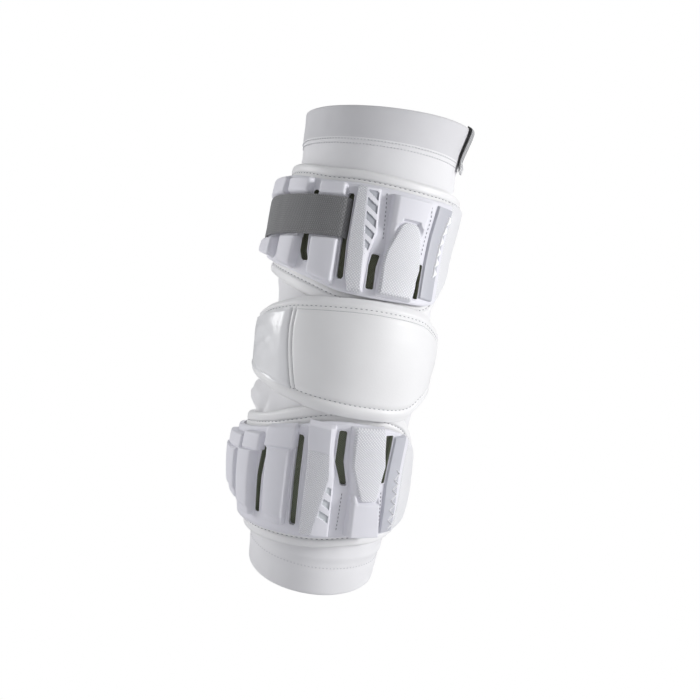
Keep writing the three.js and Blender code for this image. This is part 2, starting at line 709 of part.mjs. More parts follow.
// Biceps strap: in through the second slot, over the ribs' channels, then round the back to the cap's right edge
function bicep_strap() {
  const slot = upper_cap.slots[1];
  const half_turn = THREE.MathUtils.radToDeg(strap_thickness / elbow_width);
  const along = (strap_place - cap_start) / upper_cap.length;
  const sides = ['left', 'right'].map((side) => read_straight(slot, 'along', side, along));
  const mouth = (sides[0] + sides[1]) / 2 - half_turn;
  const on_ribs = rib_base + channel_floor + seat_gap;
  const rib_end = upper_cap.ribs[0].low_left;
  const route = [
    { deg: mouth, height: shell_base + gap },
    { deg: mouth - 0.3, height: shell_top + gap },
    { deg: mouth - 1.6, height: on_ribs - gap },
    ...columns(rib_end, mouth - 4).reverse().map((deg) => ({ deg, height: on_ribs })),
    { deg: shell_left - 2, height: shell_top + seat_gap },
    { deg: shell_left - 6, height: pad_top + seat_gap * 2 },
    { deg: cap_left - 1, height: pad_top + seat_gap },
    { deg: cap_left - 5, height: pad_top / 2 },
    ...columns(cap_right - 360 + 1, cap_left - 10).reverse().map((deg) => ({ deg, height: seat_gap })),
  ];
  const rows = [strap_place - strap_width / 2, strap_place, strap_place + strap_width / 2];
  const inner = route.map(({ deg, height }) => rows.map((s) => place(deg, s, height)));
  const outer = inner.map((column, i) => column.map((point, j) => {
    const before = inner[Math.max(i - 1, 0)][j];
    const after = inner[Math.min(i + 1, inner.length - 1)][j];
    const along = new THREE.Vector3().subVectors(after, before);
    const up = new THREE.Vector3().subVectors(place(0, rows[2], 0), place(0, rows[0], 0));
    const out = new THREE.Vector3().crossVectors(up, along).normalize();
    return point.clone().addScaledVector(out, strap_thickness);
  }));
  return close(outer, inner);
}
add('bicep_strap', bicep_strap(), grey_web, 0.85);

// Pull tab: a webbing loop sewn to the sleeve's right side at both of its ends, just below the top rim
function pull_tab() {
  const top = upper_length + 1;
  const half_turn = THREE.MathUtils.radToDeg(tab_width / elbow_width);
  const route = [
    { along: 0, out: 0.5 },
    { along: 0.1, out: 1 },
    { along: 0.3, out: 1 },
    { along: 0.55, out: 0.7 },
    { along: 0.75, out: 0.1 },
    { along: 0.82, out: 0 },
    { along: 1, out: 0 },
  ];
  const rows = route.map((row) => top - row.along * tab_length);
  const degs = [tab_turn - half_turn, tab_turn, tab_turn + half_turn];
  const low = (deg, s, i, j) => hem_fold + gap + tab_bulge * route[j].out;
  const high = (deg, s, i, j) => low(deg, s, i, j) + tab_thickness * (j > 4 ? 1.9 : 1);
  return layer(degs, () => rows, low, high);
}
add('pull_tab', pull_tab(), black_web, 0.8);

export default pieces;
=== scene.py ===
# Lacrosse arm pad: a knitted sleeve, two moulded ribbed caps in padded borders, an elbow wrap between them,
# a biceps strap and a pull tab. +Z is up the arm, and the protected outside of the arm faces -Y.
import math

import bmesh
import bpy
import numpy as np
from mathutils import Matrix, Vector, noise


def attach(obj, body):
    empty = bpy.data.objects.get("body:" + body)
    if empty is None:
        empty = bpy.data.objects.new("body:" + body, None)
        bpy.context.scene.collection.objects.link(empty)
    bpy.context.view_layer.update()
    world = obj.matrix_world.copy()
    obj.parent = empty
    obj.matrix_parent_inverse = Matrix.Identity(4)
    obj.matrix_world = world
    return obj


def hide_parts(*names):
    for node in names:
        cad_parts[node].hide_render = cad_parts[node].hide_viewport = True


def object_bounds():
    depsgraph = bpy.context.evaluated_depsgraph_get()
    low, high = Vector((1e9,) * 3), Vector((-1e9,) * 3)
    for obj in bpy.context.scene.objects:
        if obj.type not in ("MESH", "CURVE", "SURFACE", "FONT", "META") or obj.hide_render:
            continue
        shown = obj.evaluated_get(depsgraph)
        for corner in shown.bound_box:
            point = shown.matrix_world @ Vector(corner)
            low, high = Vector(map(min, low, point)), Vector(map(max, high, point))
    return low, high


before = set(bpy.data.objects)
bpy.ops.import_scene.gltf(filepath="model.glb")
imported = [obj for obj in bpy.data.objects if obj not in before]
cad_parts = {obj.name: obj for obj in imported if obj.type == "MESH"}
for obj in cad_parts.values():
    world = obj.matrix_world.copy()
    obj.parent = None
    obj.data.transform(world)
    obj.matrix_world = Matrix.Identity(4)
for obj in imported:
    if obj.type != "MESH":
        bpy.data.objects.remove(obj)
cad_box = [list(corner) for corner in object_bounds()]

# Camera, floor and studio light
# A long lens straight in front of the elbow, rolled a little as the photograph is, over a plain pale floor.
# A broad soft light on the right leaves the left side of the white fabric in a mild shade.
camera_distance = 1.6
view_width = 0.49
sensor_width = 36
camera_roll = math.radians(9.9)
photo_width = 700
elbow_pixel = (347.7, 349.6)
floor_height = cad_box[0][2] - 0.002
floor_reach = 12
white_world = (1.0, 1.0, 1.0, 1.0)


def put_in_scene(name, data):
    """An object that holds some data, linked into the scene."""
    thing = bpy.data.objects.new(name, data)
    bpy.context.scene.collection.objects.link(thing)
    return thing


def shown_apart(tree, lit, seen):
    """A shader that lights the pad with one thing and shows another to the camera."""
    ray = tree.nodes.new("ShaderNodeLightPath")
    by_ray = tree.nodes.new("ShaderNodeMixShader")
    tree.links.new(ray.outputs["Is Camera Ray"], by_ray.inputs[0])
    tree.links.new(lit.outputs[0], by_ray.inputs[1])
    tree.links.new(seen.outputs[0], by_ray.inputs[2])
    return by_ray.outputs[0]


camera_data = bpy.data.cameras.new("camera")
camera_data.sensor_width = sensor_width
camera_data.lens = sensor_width * camera_distance / view_width
camera_data.shift_x = 0.5 - elbow_pixel[0] / photo_width
camera_data.shift_y = elbow_pixel[1] / photo_width - 0.5
camera = put_in_scene("camera", camera_data)
camera.location = (0, -camera_distance, 0)
camera.rotation_euler = (math.pi / 2, -camera_roll, 0)
bpy.context.scene.camera = camera
bpy.context.scene.view_settings.view_transform = "Standard"

world = bpy.data.worlds.new("studio")
world.use_nodes = True
bpy.context.scene.world = world
tree = world.node_tree
tree.nodes.clear()
backdrop = tree.nodes.new("ShaderNodeBackground")
backdrop.inputs["Color"].default_value = white_world
lighting = tree.nodes.new("ShaderNodeBackground")
lighting.inputs["Color"].default_value = (0.95, 0.97, 1.0, 1.0)
lighting.inputs["Strength"].default_value = 0.3
world_out = tree.nodes.new("ShaderNodeOutputWorld")
tree.links.new(shown_apart(tree, lighting, backdrop), world_out.inputs[0])

floor_mesh = bpy.data.meshes.new("floor")
turns = np.radians(np.arange(0, 360, 5))
floor_ring = [(floor_reach * math.cos(a), floor_reach * math.sin(a), floor_height) for a in turns]
floor_mesh.from_pydata(floor_ring, [], [list(range(len(floor_ring)))])
floor = put_in_scene("floor", floor_mesh)
floor_look = bpy.data.materials.new("pale_floor")
floor_look.use_nodes = True
tree = floor_look.node_tree
shader = tree.nodes["Principled BSDF"]
shader.inputs["Base Color"].default_value = (0.85, 0.85, 0.86, 1.0)
shader.inputs["Roughness"].default_value = 0.9
glow = tree.nodes.new("ShaderNodeEmission")
glow.inputs["Color"].default_value = white_world
tree.links.new(shown_apart(tree, shader, glow), tree.nodes["Material Output"].inputs[0])
floor_mesh.materials.append(floor_look)


def soft_light(name, place, size, power):
    light = bpy.data.lights.new(name, "AREA")
    light.shape = "DISK"
    light.size = size
    light.energy = power
    lamp = put_in_scene(name, light)
    lamp.location = place
    lamp.rotation_euler = (-Vector(place)).to_track_quat("-Z", "Y").to_euler()


soft_light("key_right", (1.7, -0.72, 0.6), 0.6, 26)
soft_light("left_edge", (-1.6, 0.1, 0.2), 0.7, 10)
soft_light("front_fill", (-0.1, -1.6, 1.2), 0.9, 1.5)
soft_light("back_rim", (0.3, 1.6, 0.9), 1.2, 10)

# Sleeve
# One open tube of white stretch knit with a thin foam lining, pulled up over the elbow. A deep hem is folded
# and stitched at the top and a narrow one at the cuff, and soft folds bulge out on both sides of the bend.
upper_length = 163.5
forearm_length = 169
rim_skew = 3.5
skew_from = 0.72
cuff_bow = 5
bow_from = 0.8
elbow_width = 106
elbow_depth = 100
upper_lean = math.radians(7)
forearm_lean = math.radians(19)
half_bend = 45
bend_rate = (upper_lean + forearm_lean) / (2 * half_bend)
sleeve_wall = 2.5
top_hem = 26
cuff_hem = 20
hem_fold = 0.8
hem_seam = 2.6
sleeve_white = (0.78, 0.775, 0.79)
# The top hem band's knit is a darker white: painted shade, standing for the light falling off on that band
hem_shade_white = (0.64, 0.635, 0.655)
# Places as shares of the upper arm (over 0) and the forearm (under 0), then widths and depths as shares of
# the elbow's
widths = [
    (-1, 0.83), (-0.71, 0.89), (-0.36, 0.96), (0, 1), (0.37, 0.98), (0.73, 0.98), (0.92, 1.035), (1, 1.065),
]
depths = [
    (-1, 0.83), (-0.71, 0.88), (-0.36, 0.96), (0, 1), (0.37, 0.96), (0.73, 0.96), (0.92, 1), (1, 1.01),
]
# Bulges and folds: turn and spread in degrees, place and run as shares of the length, rise in elbow widths
folds = [
    (-92, 95, 0.54, 0.5, 0.038),
    (-92, 95, -0.49, 0.46, 0.064),
    (-92, 44, -0.235, 0.085, 0.075),
    (-92, 60, 0.3, 0.16, 0.03),
    (90, 80, 0.66, 0.25, 0.03),
    (90, 80, -0.62, 0.28, 0.04),
    (90, 70, 1.0, 0.14, 0.02),
]
mm = 0.001


def read(table, x):
    """Values of a table of places and values, on a smooth curve through its rows."""
    place, value = np.array(table, float).T
    steps = np.arange(len(place))
    before = np.maximum(steps - 1, 0)
    after = np.minimum(steps + 1, len(place) - 1)
    rate = (value[after] - value[before]) / (place[after] - place[before])
    x = np.clip(x, place[0], place[-1])
    i = np.clip(np.searchsorted(place, x) - 1, 0, len(place) - 2)
    span = place[i + 1] - place[i]
    t = (x - place[i]) / span
    low = (1 + 2 * t) * (1 - t) ** 2 * value[i] + t * (1 - t) ** 2 * span * rate[i]
    return low + t * t * (3 - 2 * t) * value[i + 1] + t * t * (t - 1) * span * rate[i + 1]


def swell(x):
    """A smooth hump: 1 in its middle, 0 from one unit away."""
    return np.where(np.abs(x) < 1, np.cos(np.clip(x, -1, 1) * np.pi / 2) ** 2, 0)


def fabric_bulge(deg, s):
    share = s / np.where(s > 0, upper_length, forearm_length)
    rise = np.zeros_like(share)
    for turn, spread, along, run, height in folds:
        off = (deg - turn + 180) % 360 - 180
        rise = rise + height * elbow_width * swell(off / spread) * swell((share - along) / run)
    return rise


def ramp(x):
    """A straight rise from 0 to 1."""
    return np.clip(x, 0, 1)


def soft_ramp(x):
    """A rise from 0 to 1 that is eased at both ends."""
    x = ramp(x)
    return x * x * (3 - 2 * x)


def round_over(x):
    """A quarter of a circle that rises from 0 to 1."""
    return np.sqrt(1 - (1 - ramp(x)) ** 2)


def bead(x, width):
    """A narrow round ridge: 1 in its middle, near 0 two widths away."""
    return np.exp(-(x / width) ** 2)


def on_arm(deg, s, height):
    """Points on the arm, in metres: degrees round it, millimetres along it and over the sleeve's cloth."""
    deg, s, height = np.broadcast_arrays(*(np.asarray(v, float) for v in (deg, s, height)))
    turn = np.radians(deg)
    share = s / np.where(s > 0, upper_length, forearm_length)
    skew = rim_skew * np.sin(turn) * ramp((share - skew_from) / (1 - skew_from))
    bow = cuff_bow * (1 - np.cos(turn)) * ramp((-share - bow_from) / (1 - bow_from))
    line = s + skew + bow
    inside = np.clip(line, -half_bend, half_bend)
    lean = bend_rate * (inside + half_bend) - forearm_lean
    middle = bend_rate * half_bend - forearm_lean
    y = (math.cos(middle) - np.cos(lean)) / bend_rate + (line - inside) * np.sin(lean)
    z = (np.sin(lean) - math.sin(middle)) / bend_rate + (line - inside) * np.cos(lean)
    out = height + fabric_bulge(deg, s)
    x = (read(widths, share) * elbow_width / 2 + out) * np.sin(turn)
    front = (read(depths, share) * elbow_depth / 2 + out) * np.cos(turn)
    return np.stack([x, y - front * np.cos(lean), z + front * np.sin(lean)], -1) * mm


def girth_at(deg):
    """Millimetres round the arm from the middle of its outside, as far as at the elbow."""
    return np.radians(deg) * elbow_width / 2


def skin_piece(name, outer, inner, across, along, look, ring=False, sharp=45):
    """A closed skin between two grids of points. Its UV map holds millimetres across and along."""
    wide, high = outer.shape[:2]
    across = np.broadcast_to(np.asarray(across, float), (wide, high))
    along = np.broadcast_to(np.asarray(along, float), (wide, high))
    if ring:
        lap = 2 * across[-1:] - across[-2:-1]
        across, along = np.concatenate([across, lap]), np.concatenate([along, along[:1]])
    number = np.arange(wide * high).reshape(wide, high)
    number = np.concatenate([number, number[:1]]) if ring else number
    quads, places = [], []

    def stretch(rows, back):
        a, b, c, d = rows[:-1, :-1], rows[1:, :-1], rows[1:, 1:], rows[:-1, 1:]
        corners = [a, d, c, b] if back else [a, b, c, d]
        return np.stack(corners, -1).reshape(-1, 4)

    def strip(pair, back):
        a, b = pair
        c, d = b[1:], a[1:]
        a, b = a[:-1], b[:-1]
        return np.stack([a, d, c, b] if back else [a, b, c, d], -1).reshape(-1, 4)

    lower = number + wide * high
    for back, ids in ((False, number), (True, lower)):
        quads.append(stretch(ids, back))
        places.append(np.stack([stretch(across, back), stretch(along, back)], -1))
    for column, back in ((0, True), (-1, False)):
        quads.append(strip((number[:, column], lower[:, column]), not back))
        places.append(np.stack([strip((v[:, column],) * 2, not back) for v in (across, along)], -1))
    if not ring:
        for row, back in ((0, False), (-1, True)):
            quads.append(strip((number[row], lower[row]), not back))
            places.append(np.stack([strip((v[row],) * 2, not back) for v in (across, along)], -1))
    points = np.concatenate([outer.reshape(-1, 3), inner.reshape(-1, 3)])
    faces = np.concatenate(quads)
    corners = np.concatenate([p.reshape(-1, 2) for p in places])
    a, b, c, d = (points[faces[:, k]] for k in range(4))
    if (np.cross(c - a, d - b) * (a + b + c + d)).sum() < 0:
        faces = faces[:, ::-1]
        corners = corners.reshape(-1, 4, 2)[:, ::-1].reshape(-1, 2)
    mesh = bpy.data.meshes.new(name)
    mesh.vertices.add(len(points))
    mesh.vertices.foreach_set("co", points.astype(np.float32).ravel())
    mesh.loops.add(faces.size)
    mesh.loops.foreach_set("vertex_index", faces.astype(np.int32).ravel())
    mesh.polygons.add(len(faces))
    mesh.polygons.foreach_set("loop_start", np.arange(0, faces.size, 4, dtype=np.int32))
    mesh.update(calc_edges=True)
    mesh.uv_layers.new(name="cloth").data.foreach_set("uv", corners.astype(np.float32).ravel())
    mesh.validate()
    mesh.shade_smooth()
    mesh.set_sharp_from_angle(angle=math.radians(sharp))
    mesh.materials.append(look)
    return put_in_scene(name, mesh)


def more_looks(piece, *looks):
    """Gives other finishes to the faces that are chosen by degrees round the arm and mm along it."""
    mesh = piece.data
    places = np.empty(len(mesh.loops) * 2, dtype=np.float32)
    mesh.uv_layers["cloth"].data.foreach_get("uv", places)
    across, along = places.reshape(-1, 4, 2).mean(axis=1).T
    number = np.zeros(len(mesh.polygons), dtype=np.int32)
    for look, chosen in looks:
        mesh.materials.append(look)
        number[chosen(np.degrees(across / (elbow_width / 2)), along)] = len(mesh.materials) - 1
    mesh.polygons.foreach_set("material_index", number)


def settle(piece, slot, *nodes):
    """Rides the piece on the part's one body and hides the solids that it stands for. Its slot, the name of
    its finish, is not used.
    """
    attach(piece, "root")
    if nodes:
        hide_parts(*nodes)


def group_of(name, inputs, outputs, kind="ShaderNodeTree"):
    """A node group with its inputs and outputs, given with both of its end nodes."""
    group = bpy.data.node_groups.new(name, kind)
    for socket, kind, value in inputs:
        made = group.interface.new_socket(name=socket, in_out="INPUT", socket_type=kind)
        if value is not None:
            made.default_value = value
    for socket, kind in outputs:
        group.interface.new_socket(name=socket, in_out="OUTPUT", socket_type=kind)
    return group, group.nodes.new("NodeGroupInput"), group.nodes.new("NodeGroupOutput")


def maths(tree, operation, *values):
    """A Math node on values or sockets, and its output."""
    node = tree.nodes.new("ShaderNodeMath")
    node.operation = operation
    for i, value in enumerate(values):
        if isinstance(value, (int, float)):
            node.inputs[i].default_value = value
        else:
            tree.links.new(value, node.inputs[i])
    return node.outputs[0]


def ridges(tree, value):
    """Rounded ridges, one for each whole step of a value."""
    return maths(tree, "ABSOLUTE", maths(tree, "SINE", maths(tree, "MULTIPLY", value, math.pi)))


def knit_group():
    """Fine knit: upright wales crossed by looped courses, in millimetres on the UV map."""
    group, given, out = group_of(
        "fine_knit",
        [("Cloth", "NodeSocketVector", None), ("Wale", "NodeSocketFloat", 0.9),
         ("Course", "NodeSocketFloat", 0.75)],
        [("Height", "NodeSocketFloat")],
    )
    split = group.nodes.new("ShaderNodeSeparateXYZ")
    group.links.new(given.outputs["Cloth"], split.inputs[0])
    wale = ridges(group, maths(group, "DIVIDE", split.outputs[0], given.outputs["Wale"]))
    lifted = maths(group, "ADD", split.outputs[1], maths(group, "MULTIPLY", wale, 0.35))
    course = ridges(group, maths(group, "DIVIDE", lifted, given.outputs["Course"]))
    both = maths(group, "ADD", maths(group, "MULTIPLY", wale, 0.6), maths(group, "MULTIPLY", course, 0.4))
    group.links.new(both, out.inputs["Height"])
    return group


def shade_group():
    """A faint uneven tone, as on handled white fabric: a value near 1 that multiplies the colour."""
    group, given, out = group_of(
        "uneven_tone",
        [("Size", "NodeSocketFloat", 0.03), ("Amount", "NodeSocketFloat", 0.06)],
        [("Tone", "NodeSocketFloat"), ("Cloud", "NodeSocketFloat")],
    )
    coords = group.nodes.new("ShaderNodeTexCoord")
    cloud = group.nodes.new("ShaderNodeTexNoise")
    cloud.inputs["Detail"].default_value = 4
    group.links.new(coords.outputs["Object"], cloud.inputs["Vector"])
    group.links.new(maths(group, "DIVIDE", 1.0, given.outputs["Size"]), cloud.inputs["Scale"])
    off = maths(group, "SUBTRACT", cloud.outputs[0], 0.5)
    tone = maths(group, "ADD", 1.0, maths(group, "MULTIPLY", off, given.outputs["Amount"]))
    group.links.new(tone, out.inputs["Tone"])
    group.links.new(cloud.outputs[0], out.inputs["Cloud"])
    return group


fine_knit = knit_group()
uneven_tone = shade_group()


def place_group(tree, group, **values):
    node = tree.nodes.new("ShaderNodeGroup")
    node.node_tree = group
    for socket, value in values.items():
        node.inputs[socket].default_value = value
    return node


def cloth_group(tree, group, **values):
    """Places a group of effects that reads millimetres on the piece's UV map."""
    node = place_group(tree, group, **values)
    cloth = tree.nodes.new("ShaderNodeUVMap")
    cloth.uv_map = "cloth"
    tree.links.new(cloth.outputs[0], node.inputs["Cloth"])
    return node


def look_of(name, colour, roughness, sheen=0.0, coat=0.0, tone=0.06, tone_size=0.03):
    """A material whose colour varies with the uneven tone. Gives it, its tree, shader and bump node."""
    look = bpy.data.materials.new(name)
    look.use_nodes = True
    tree = look.node_tree
    shader = tree.nodes["Principled BSDF"]
    shader.inputs["Roughness"].default_value = roughness
    shader.inputs["Sheen Weight"].default_value = sheen
    shader.inputs["Coat Weight"].default_value = coat
    shade = place_group(tree, uneven_tone, Size=tone_size, Amount=tone)
    tint = tree.nodes.new("ShaderNodeVectorMath")
    tint.operation = "SCALE"
    tint.inputs[0].default_value = colour
    tree.links.new(shade.outputs["Tone"], tint.inputs["Scale"])
    tree.links.new(tint.outputs[0], shader.inputs["Base Color"])
    bump = tree.nodes.new("ShaderNodeBump")
    tree.links.new(bump.outputs[0], shader.inputs["Normal"])
    return look, tree, shader, bump


def raised_by(height, bump, strength, relief):
    """Feeds a height to a look's bump node. relief is in metres."""
    bump.id_data.links.new(height, bump.inputs["Height"])
    bump.inputs["Strength"].default_value = strength
    bump.inputs["Distance"].default_value = relief


def two_tones(tree, shader, factor, ground, raised, uneven=True):
    """Mixes two colours by a factor from 0 to 1, through the look's uneven tone or past it."""
    tones = tree.nodes.new("ShaderNodeMix")
    tones.data_type = "RGBA"
    tones.inputs["A"].default_value = (*ground, 1.0)
    tones.inputs["B"].default_value = (*raised, 1.0)
    tree.links.new(factor, tones.inputs["Factor"])
    into = shader.inputs["Base Color"]
    if uneven:
        into = into.links[0].from_node.inputs[0]
    tree.links.new(tones.outputs["Result"], into)


def knit_look_of(name, colour):
    look, tree, _, bump = look_of(name, colour, 0.85, sheen=0.15)
    knit = cloth_group(tree, fine_knit)
    raised_by(knit.outputs["Height"], bump, 0.25, 0.00018)
    return look


knit_look = knit_look_of("white_knit", sleeve_white)
hem_shade_look = knit_look_of("hem_knit_painted_shade", hem_shade_white)


def ripple(points, size, seed):
    """Smooth noise between about -1 and 1 at points in metres; size is the width of a wave."""
    flat = points.reshape(-1, 3) / size
    shift = Vector((seed * 7.3, seed * 3.1, seed * 5.7))
    return np.array([noise.noise(Vector(p) + shift) for p in flat]).reshape(points.shape[:-1])


hem_line = upper_length - top_hem
cuff_line = cuff_hem - forearm_length
hem_softness = 0.9
hem_crease = 0.12
cuff_fold_place, cuff_fold_width = -141, 3.2
inner_turn = -92
valley_place, valley_slope, valley_width = -38.5, -0.12, 2.4
lobe_turn, lobe_place, lobe_slope, lobe_run = -66, -44, 0.5, 12
gather_place, gather_run = 42, 12
fold_depth = 2.2
fold_rise = 0.9


def sleeve_rise(deg, s):
    """How far the cloth stands over the plain sleeve, in mm: the hems, their creases, folds and ripples."""
    over_hem = 1 / (1 + np.exp(-(s - hem_line) / hem_softness))
    over_cuff = 1 / (1 + np.exp((s - cuff_line) / hem_softness))
    crease = hem_crease * (bead(s - hem_line - 0.5, 1.3) + bead(s - cuff_line + 0.5, 1.1))
    cuff_sway = 1.5 * np.sin(np.radians(deg + 60))
    cuff_fold = fold_rise * bead(s - cuff_fold_place - cuff_sway, cuff_fold_width)
    base = on_arm(deg, s, 0)
    loose = 0.55 * ripple(base * (1, 1, 1.6), 0.034, 1) + 0.2 * ripple(base, 0.011, 2)
    pull = 0.35 * ripple(base * (1, 1, 0.35), 0.012, 3) * bead(s - hem_line + 7, 7)
    valley_line = valley_place + valley_slope * (deg - inner_turn)
    valley = -fold_depth * bead(s - valley_line, valley_width) * swell((deg + 88) / 40)
    past_lobe = deg - lobe_turn - lobe_slope * (s - lobe_place)
    lobe_edge = fold_rise * bead(past_lobe - 8, 3.4) - fold_depth * bead(past_lobe, 3.0)
    lobe = lobe_edge * swell((s - lobe_place) / lobe_run)
    gather_waves = 0.5 * np.sin((s + 0.25 * deg) / 1.9)
    gathers = gather_waves * swell((s - gather_place) / gather_run) * swell((deg - inner_turn) / 45)
    return hem_fold * (over_hem + over_cuff) - crease + cuff_fold + loose + pull + valley + lobe + gathers


rim = (sleeve_wall + hem_fold) / 2
lip = np.radians([30, 60, 85])
sleeve_s = np.concatenate([
    -forearm_length + rim * (1 - np.sin(lip[::-1])),
    -forearm_length + rim + np.array([0, 2, 5, 9, 13, 16]),
    np.arange(-forearm_length + 19, -118, 1.1),
    np.arange(-116, 112, 2.4),
    np.arange(113, upper_length - rim - 1, 1.3),
    [upper_length - rim],
    upper_length - rim * (1 - np.sin(lip)),
])
roundness = np.ones(len(sleeve_s))
roundness[:3], roundness[-3:] = np.cos(lip[::-1]), np.cos(lip)
sleeve_deg, sleeve_s = np.meshgrid(np.arange(-180, 180, 2.0), sleeve_s, indexing="ij")
rise = sleeve_rise(sleeve_deg, sleeve_s)
middle, half = (rise - sleeve_wall) / 2, (rise + sleeve_wall) / 2 * roundness
sleeve = skin_piece(
    "knit_sleeve",
    on_arm(sleeve_deg, sleeve_s, middle + half),
    on_arm(sleeve_deg, sleeve_s, middle - half),
    girth_at(sleeve_deg),
    sleeve_s,
    knit_look,
    ring=True,
    sharp=70,
)
# The top hem band takes the darker knit, which is painted shade
more_looks(sleeve, (hem_shade_look, lambda deg, s: s > hem_line + hem_seam))
settle(sleeve, "sleeve_knit", "sleeve")

# Hem stitches
# The top hem is held by two rows of white straight stitches and the cuff by one. Each stitch is one pull of
# thread from needle hole to needle hole.
# Each row has its place on the arm, its pitch, and how far the thread lies over the cloth, in mm.
hem_rows = ((138.9, 2.4, 0.27), (135.9, 2.4, 0.27), (-147.2, 2.6, 0.05))
thread_white = (0.6, 0.6, 0.63)


def stitch_tree():
    """Lays a round-ended piece of thread along every edge of a mesh of needle holes."""
    group, given, out = group_of(
        "thread_stitches",
        [("Holes", "NodeSocketGeometry", None), ("Thread radius", "NodeSocketFloat", 0.0003),
         ("Shown share", "NodeSocketFloat", 0.5), ("Thread", "NodeSocketMaterial", None)],
        [("Stitches", "NodeSocketGeometry")],
        kind="GeometryNodeTree",
    )

    def add(kind, links):
        node = group.nodes.new(kind)
        for socket, source in links.items():
            group.links.new(source, node.inputs[socket])
        return node
    ends = add("GeometryNodeInputMeshEdgeVertices", {})
    along = add("ShaderNodeVectorMath", {0: ends.outputs["Position 2"], 1: ends.outputs["Position 1"]})
    along.operation = "SUBTRACT"
    keep = add("GeometryNodeCaptureAttribute", {"Geometry": given.outputs["Holes"]})
    keep.domain = "EDGE"
    keep.capture_items.new("VECTOR", "Along")
    group.links.new(along.outputs[0], keep.inputs["Along"])
    points = add("GeometryNodeMeshToPoints", {"Mesh": keep.outputs["Geometry"]})
    points.mode = "EDGES"
    thread = add("GeometryNodeMeshUVSphere", {})
    thread.inputs["Segments"].default_value = 6
    thread.inputs["Rings"].default_value = 5
    thread.inputs["Radius"].default_value = 1.0
    turn = add("FunctionNodeAlignRotationToVector", {"Vector": keep.outputs["Along"]})
    turn.axis = "Z"
    length = add("ShaderNodeVectorMath", {0: keep.outputs["Along"]})
    length.operation = "LENGTH"
    shown = maths(group, "MULTIPLY", length.outputs["Value"], given.outputs["Shown share"])
    half = maths(group, "MULTIPLY", shown, 0.5)
    radius = given.outputs["Thread radius"]
    size = add("ShaderNodeCombineXYZ", {0: radius, 1: radius, 2: half})
    lay = add("GeometryNodeInstanceOnPoints", {
        "Points": points.outputs["Points"],
        "Instance": thread.outputs["Mesh"],
        "Rotation": turn.outputs["Rotation"],
        "Scale": size.outputs[0],
    })
    real = add("GeometryNodeRealizeInstances", {"Geometry": lay.outputs["Instances"]})
    smooth = add("GeometryNodeSetShadeSmooth", {"Geometry": real.outputs["Geometry"]})
    finish = add("GeometryNodeSetMaterial", {"Geometry": smooth.outputs["Geometry"]})
    group.links.new(given.outputs["Thread"], finish.inputs["Material"])
    group.links.new(finish.outputs["Geometry"], out.inputs["Stitches"])
    return group


thread_stitches = stitch_tree()


def grown(name, carrier, group, **values):
    """Runs a geometry tree on a carrier mesh and gives its result as a plain mesh object."""
    source = put_in_scene(name + "_carrier", carrier)
    modifier = source.modifiers.new("tree", "NODES")
    modifier.node_group = group
    names = {item.name: item.identifier for item in group.interface.items_tree if item.item_type == "SOCKET"}
    for socket, value in values.items():
        modifier[names[socket.replace("_", " ")]] = value
    depsgraph = bpy.context.evaluated_depsgraph_get()
    mesh = bpy.data.meshes.new_from_object(source.evaluated_get(depsgraph), depsgraph=depsgraph)
    bpy.data.objects.remove(source)
    mesh.name = name
    return put_in_scene(name, mesh)


def stitched(name, lines, thread, radius=0.28, share=0.5):
    """Stitches along lines of needle holes, each an array of points in metres."""
    points, edges = [], []
    for line in lines:
        edges += [(len(points) + i, len(points) + i + 1) for i in range(len(line) - 1)]
        points += [tuple(p) for p in line]
    holes = bpy.data.meshes.new(name + "_holes")
    holes.from_pydata(points, edges, [])
    return grown(name, holes, thread_stitches, Thread_radius=radius * mm, Shown_share=share, Thread=thread)


def evenly(place_at, start, end, pitch):
    """Values between start and end whose points lie a pitch apart, in millimetres."""
    fine = np.linspace(start, end, 600)
    points = place_at(fine)
    run = np.concatenate([[0], np.cumsum(np.linalg.norm(np.diff(points, axis=0), axis=1))]) / mm
    return np.interp(np.arange(0, run[-1], pitch), run, fine)


def thread_look(name, colour):
    look, tree, _, bump = look_of(name, colour, 0.6, sheen=0.2, tone=0.15, tone_size=0.004)
    twist = tree.nodes.new("ShaderNodeTexWave")
    twist.inputs["Scale"].default_value = 900
    coords = tree.nodes.new("ShaderNodeTexCoord")
    tree.links.new(coords.outputs["Object"], twist.inputs["Vector"])
    raised_by(twist.outputs["Fac"], bump, 1.0, 0.0001)
    return look


white_thread = thread_look("white_thread", thread_white)
hem_lines = []
for place, pitch, over in hem_rows:
    def hem_row(deg, lift=0):
        return on_arm(deg, place, sleeve_rise(deg, np.full_like(deg, place)) + lift)
    hem_lines.append(hem_row(evenly(hem_row, -180, 180, pitch), over))
hem_stitches = stitched("hem_stitches", hem_lines, white_thread, radius=0.36)
settle(hem_stitches, "sleeve_knit")

# Caps: padded borders
# Each cap is sewn to a white backing pad whose edge rolls out round the grey shell, about 10 mm wide. A row
# of grey stitches runs in a channel beside the shell. Down the right side the pad is a thicker dotted band.
seat_gap = 0.65
layer_gap = 0.3
border_width = 10
pad_thickness = 4.7
band_rise = 3
band_start = 60.5
cap_start = 34
cap_left, cap_right = -115, 100
shell_left, shell_right = -104, 60
roll_height, roll_place, roll_half = 0.35, 6.2, 3.6
channel_depth, channel_place, channel_half = 0.75, 2.9, 0.65
edge_round = 2.6
side_round = 3.5
border_white = (0.82, 0.815, 0.82)
seam_grey = (0.27, 0.27, 0.3)
pad_top = seat_gap + pad_thickness
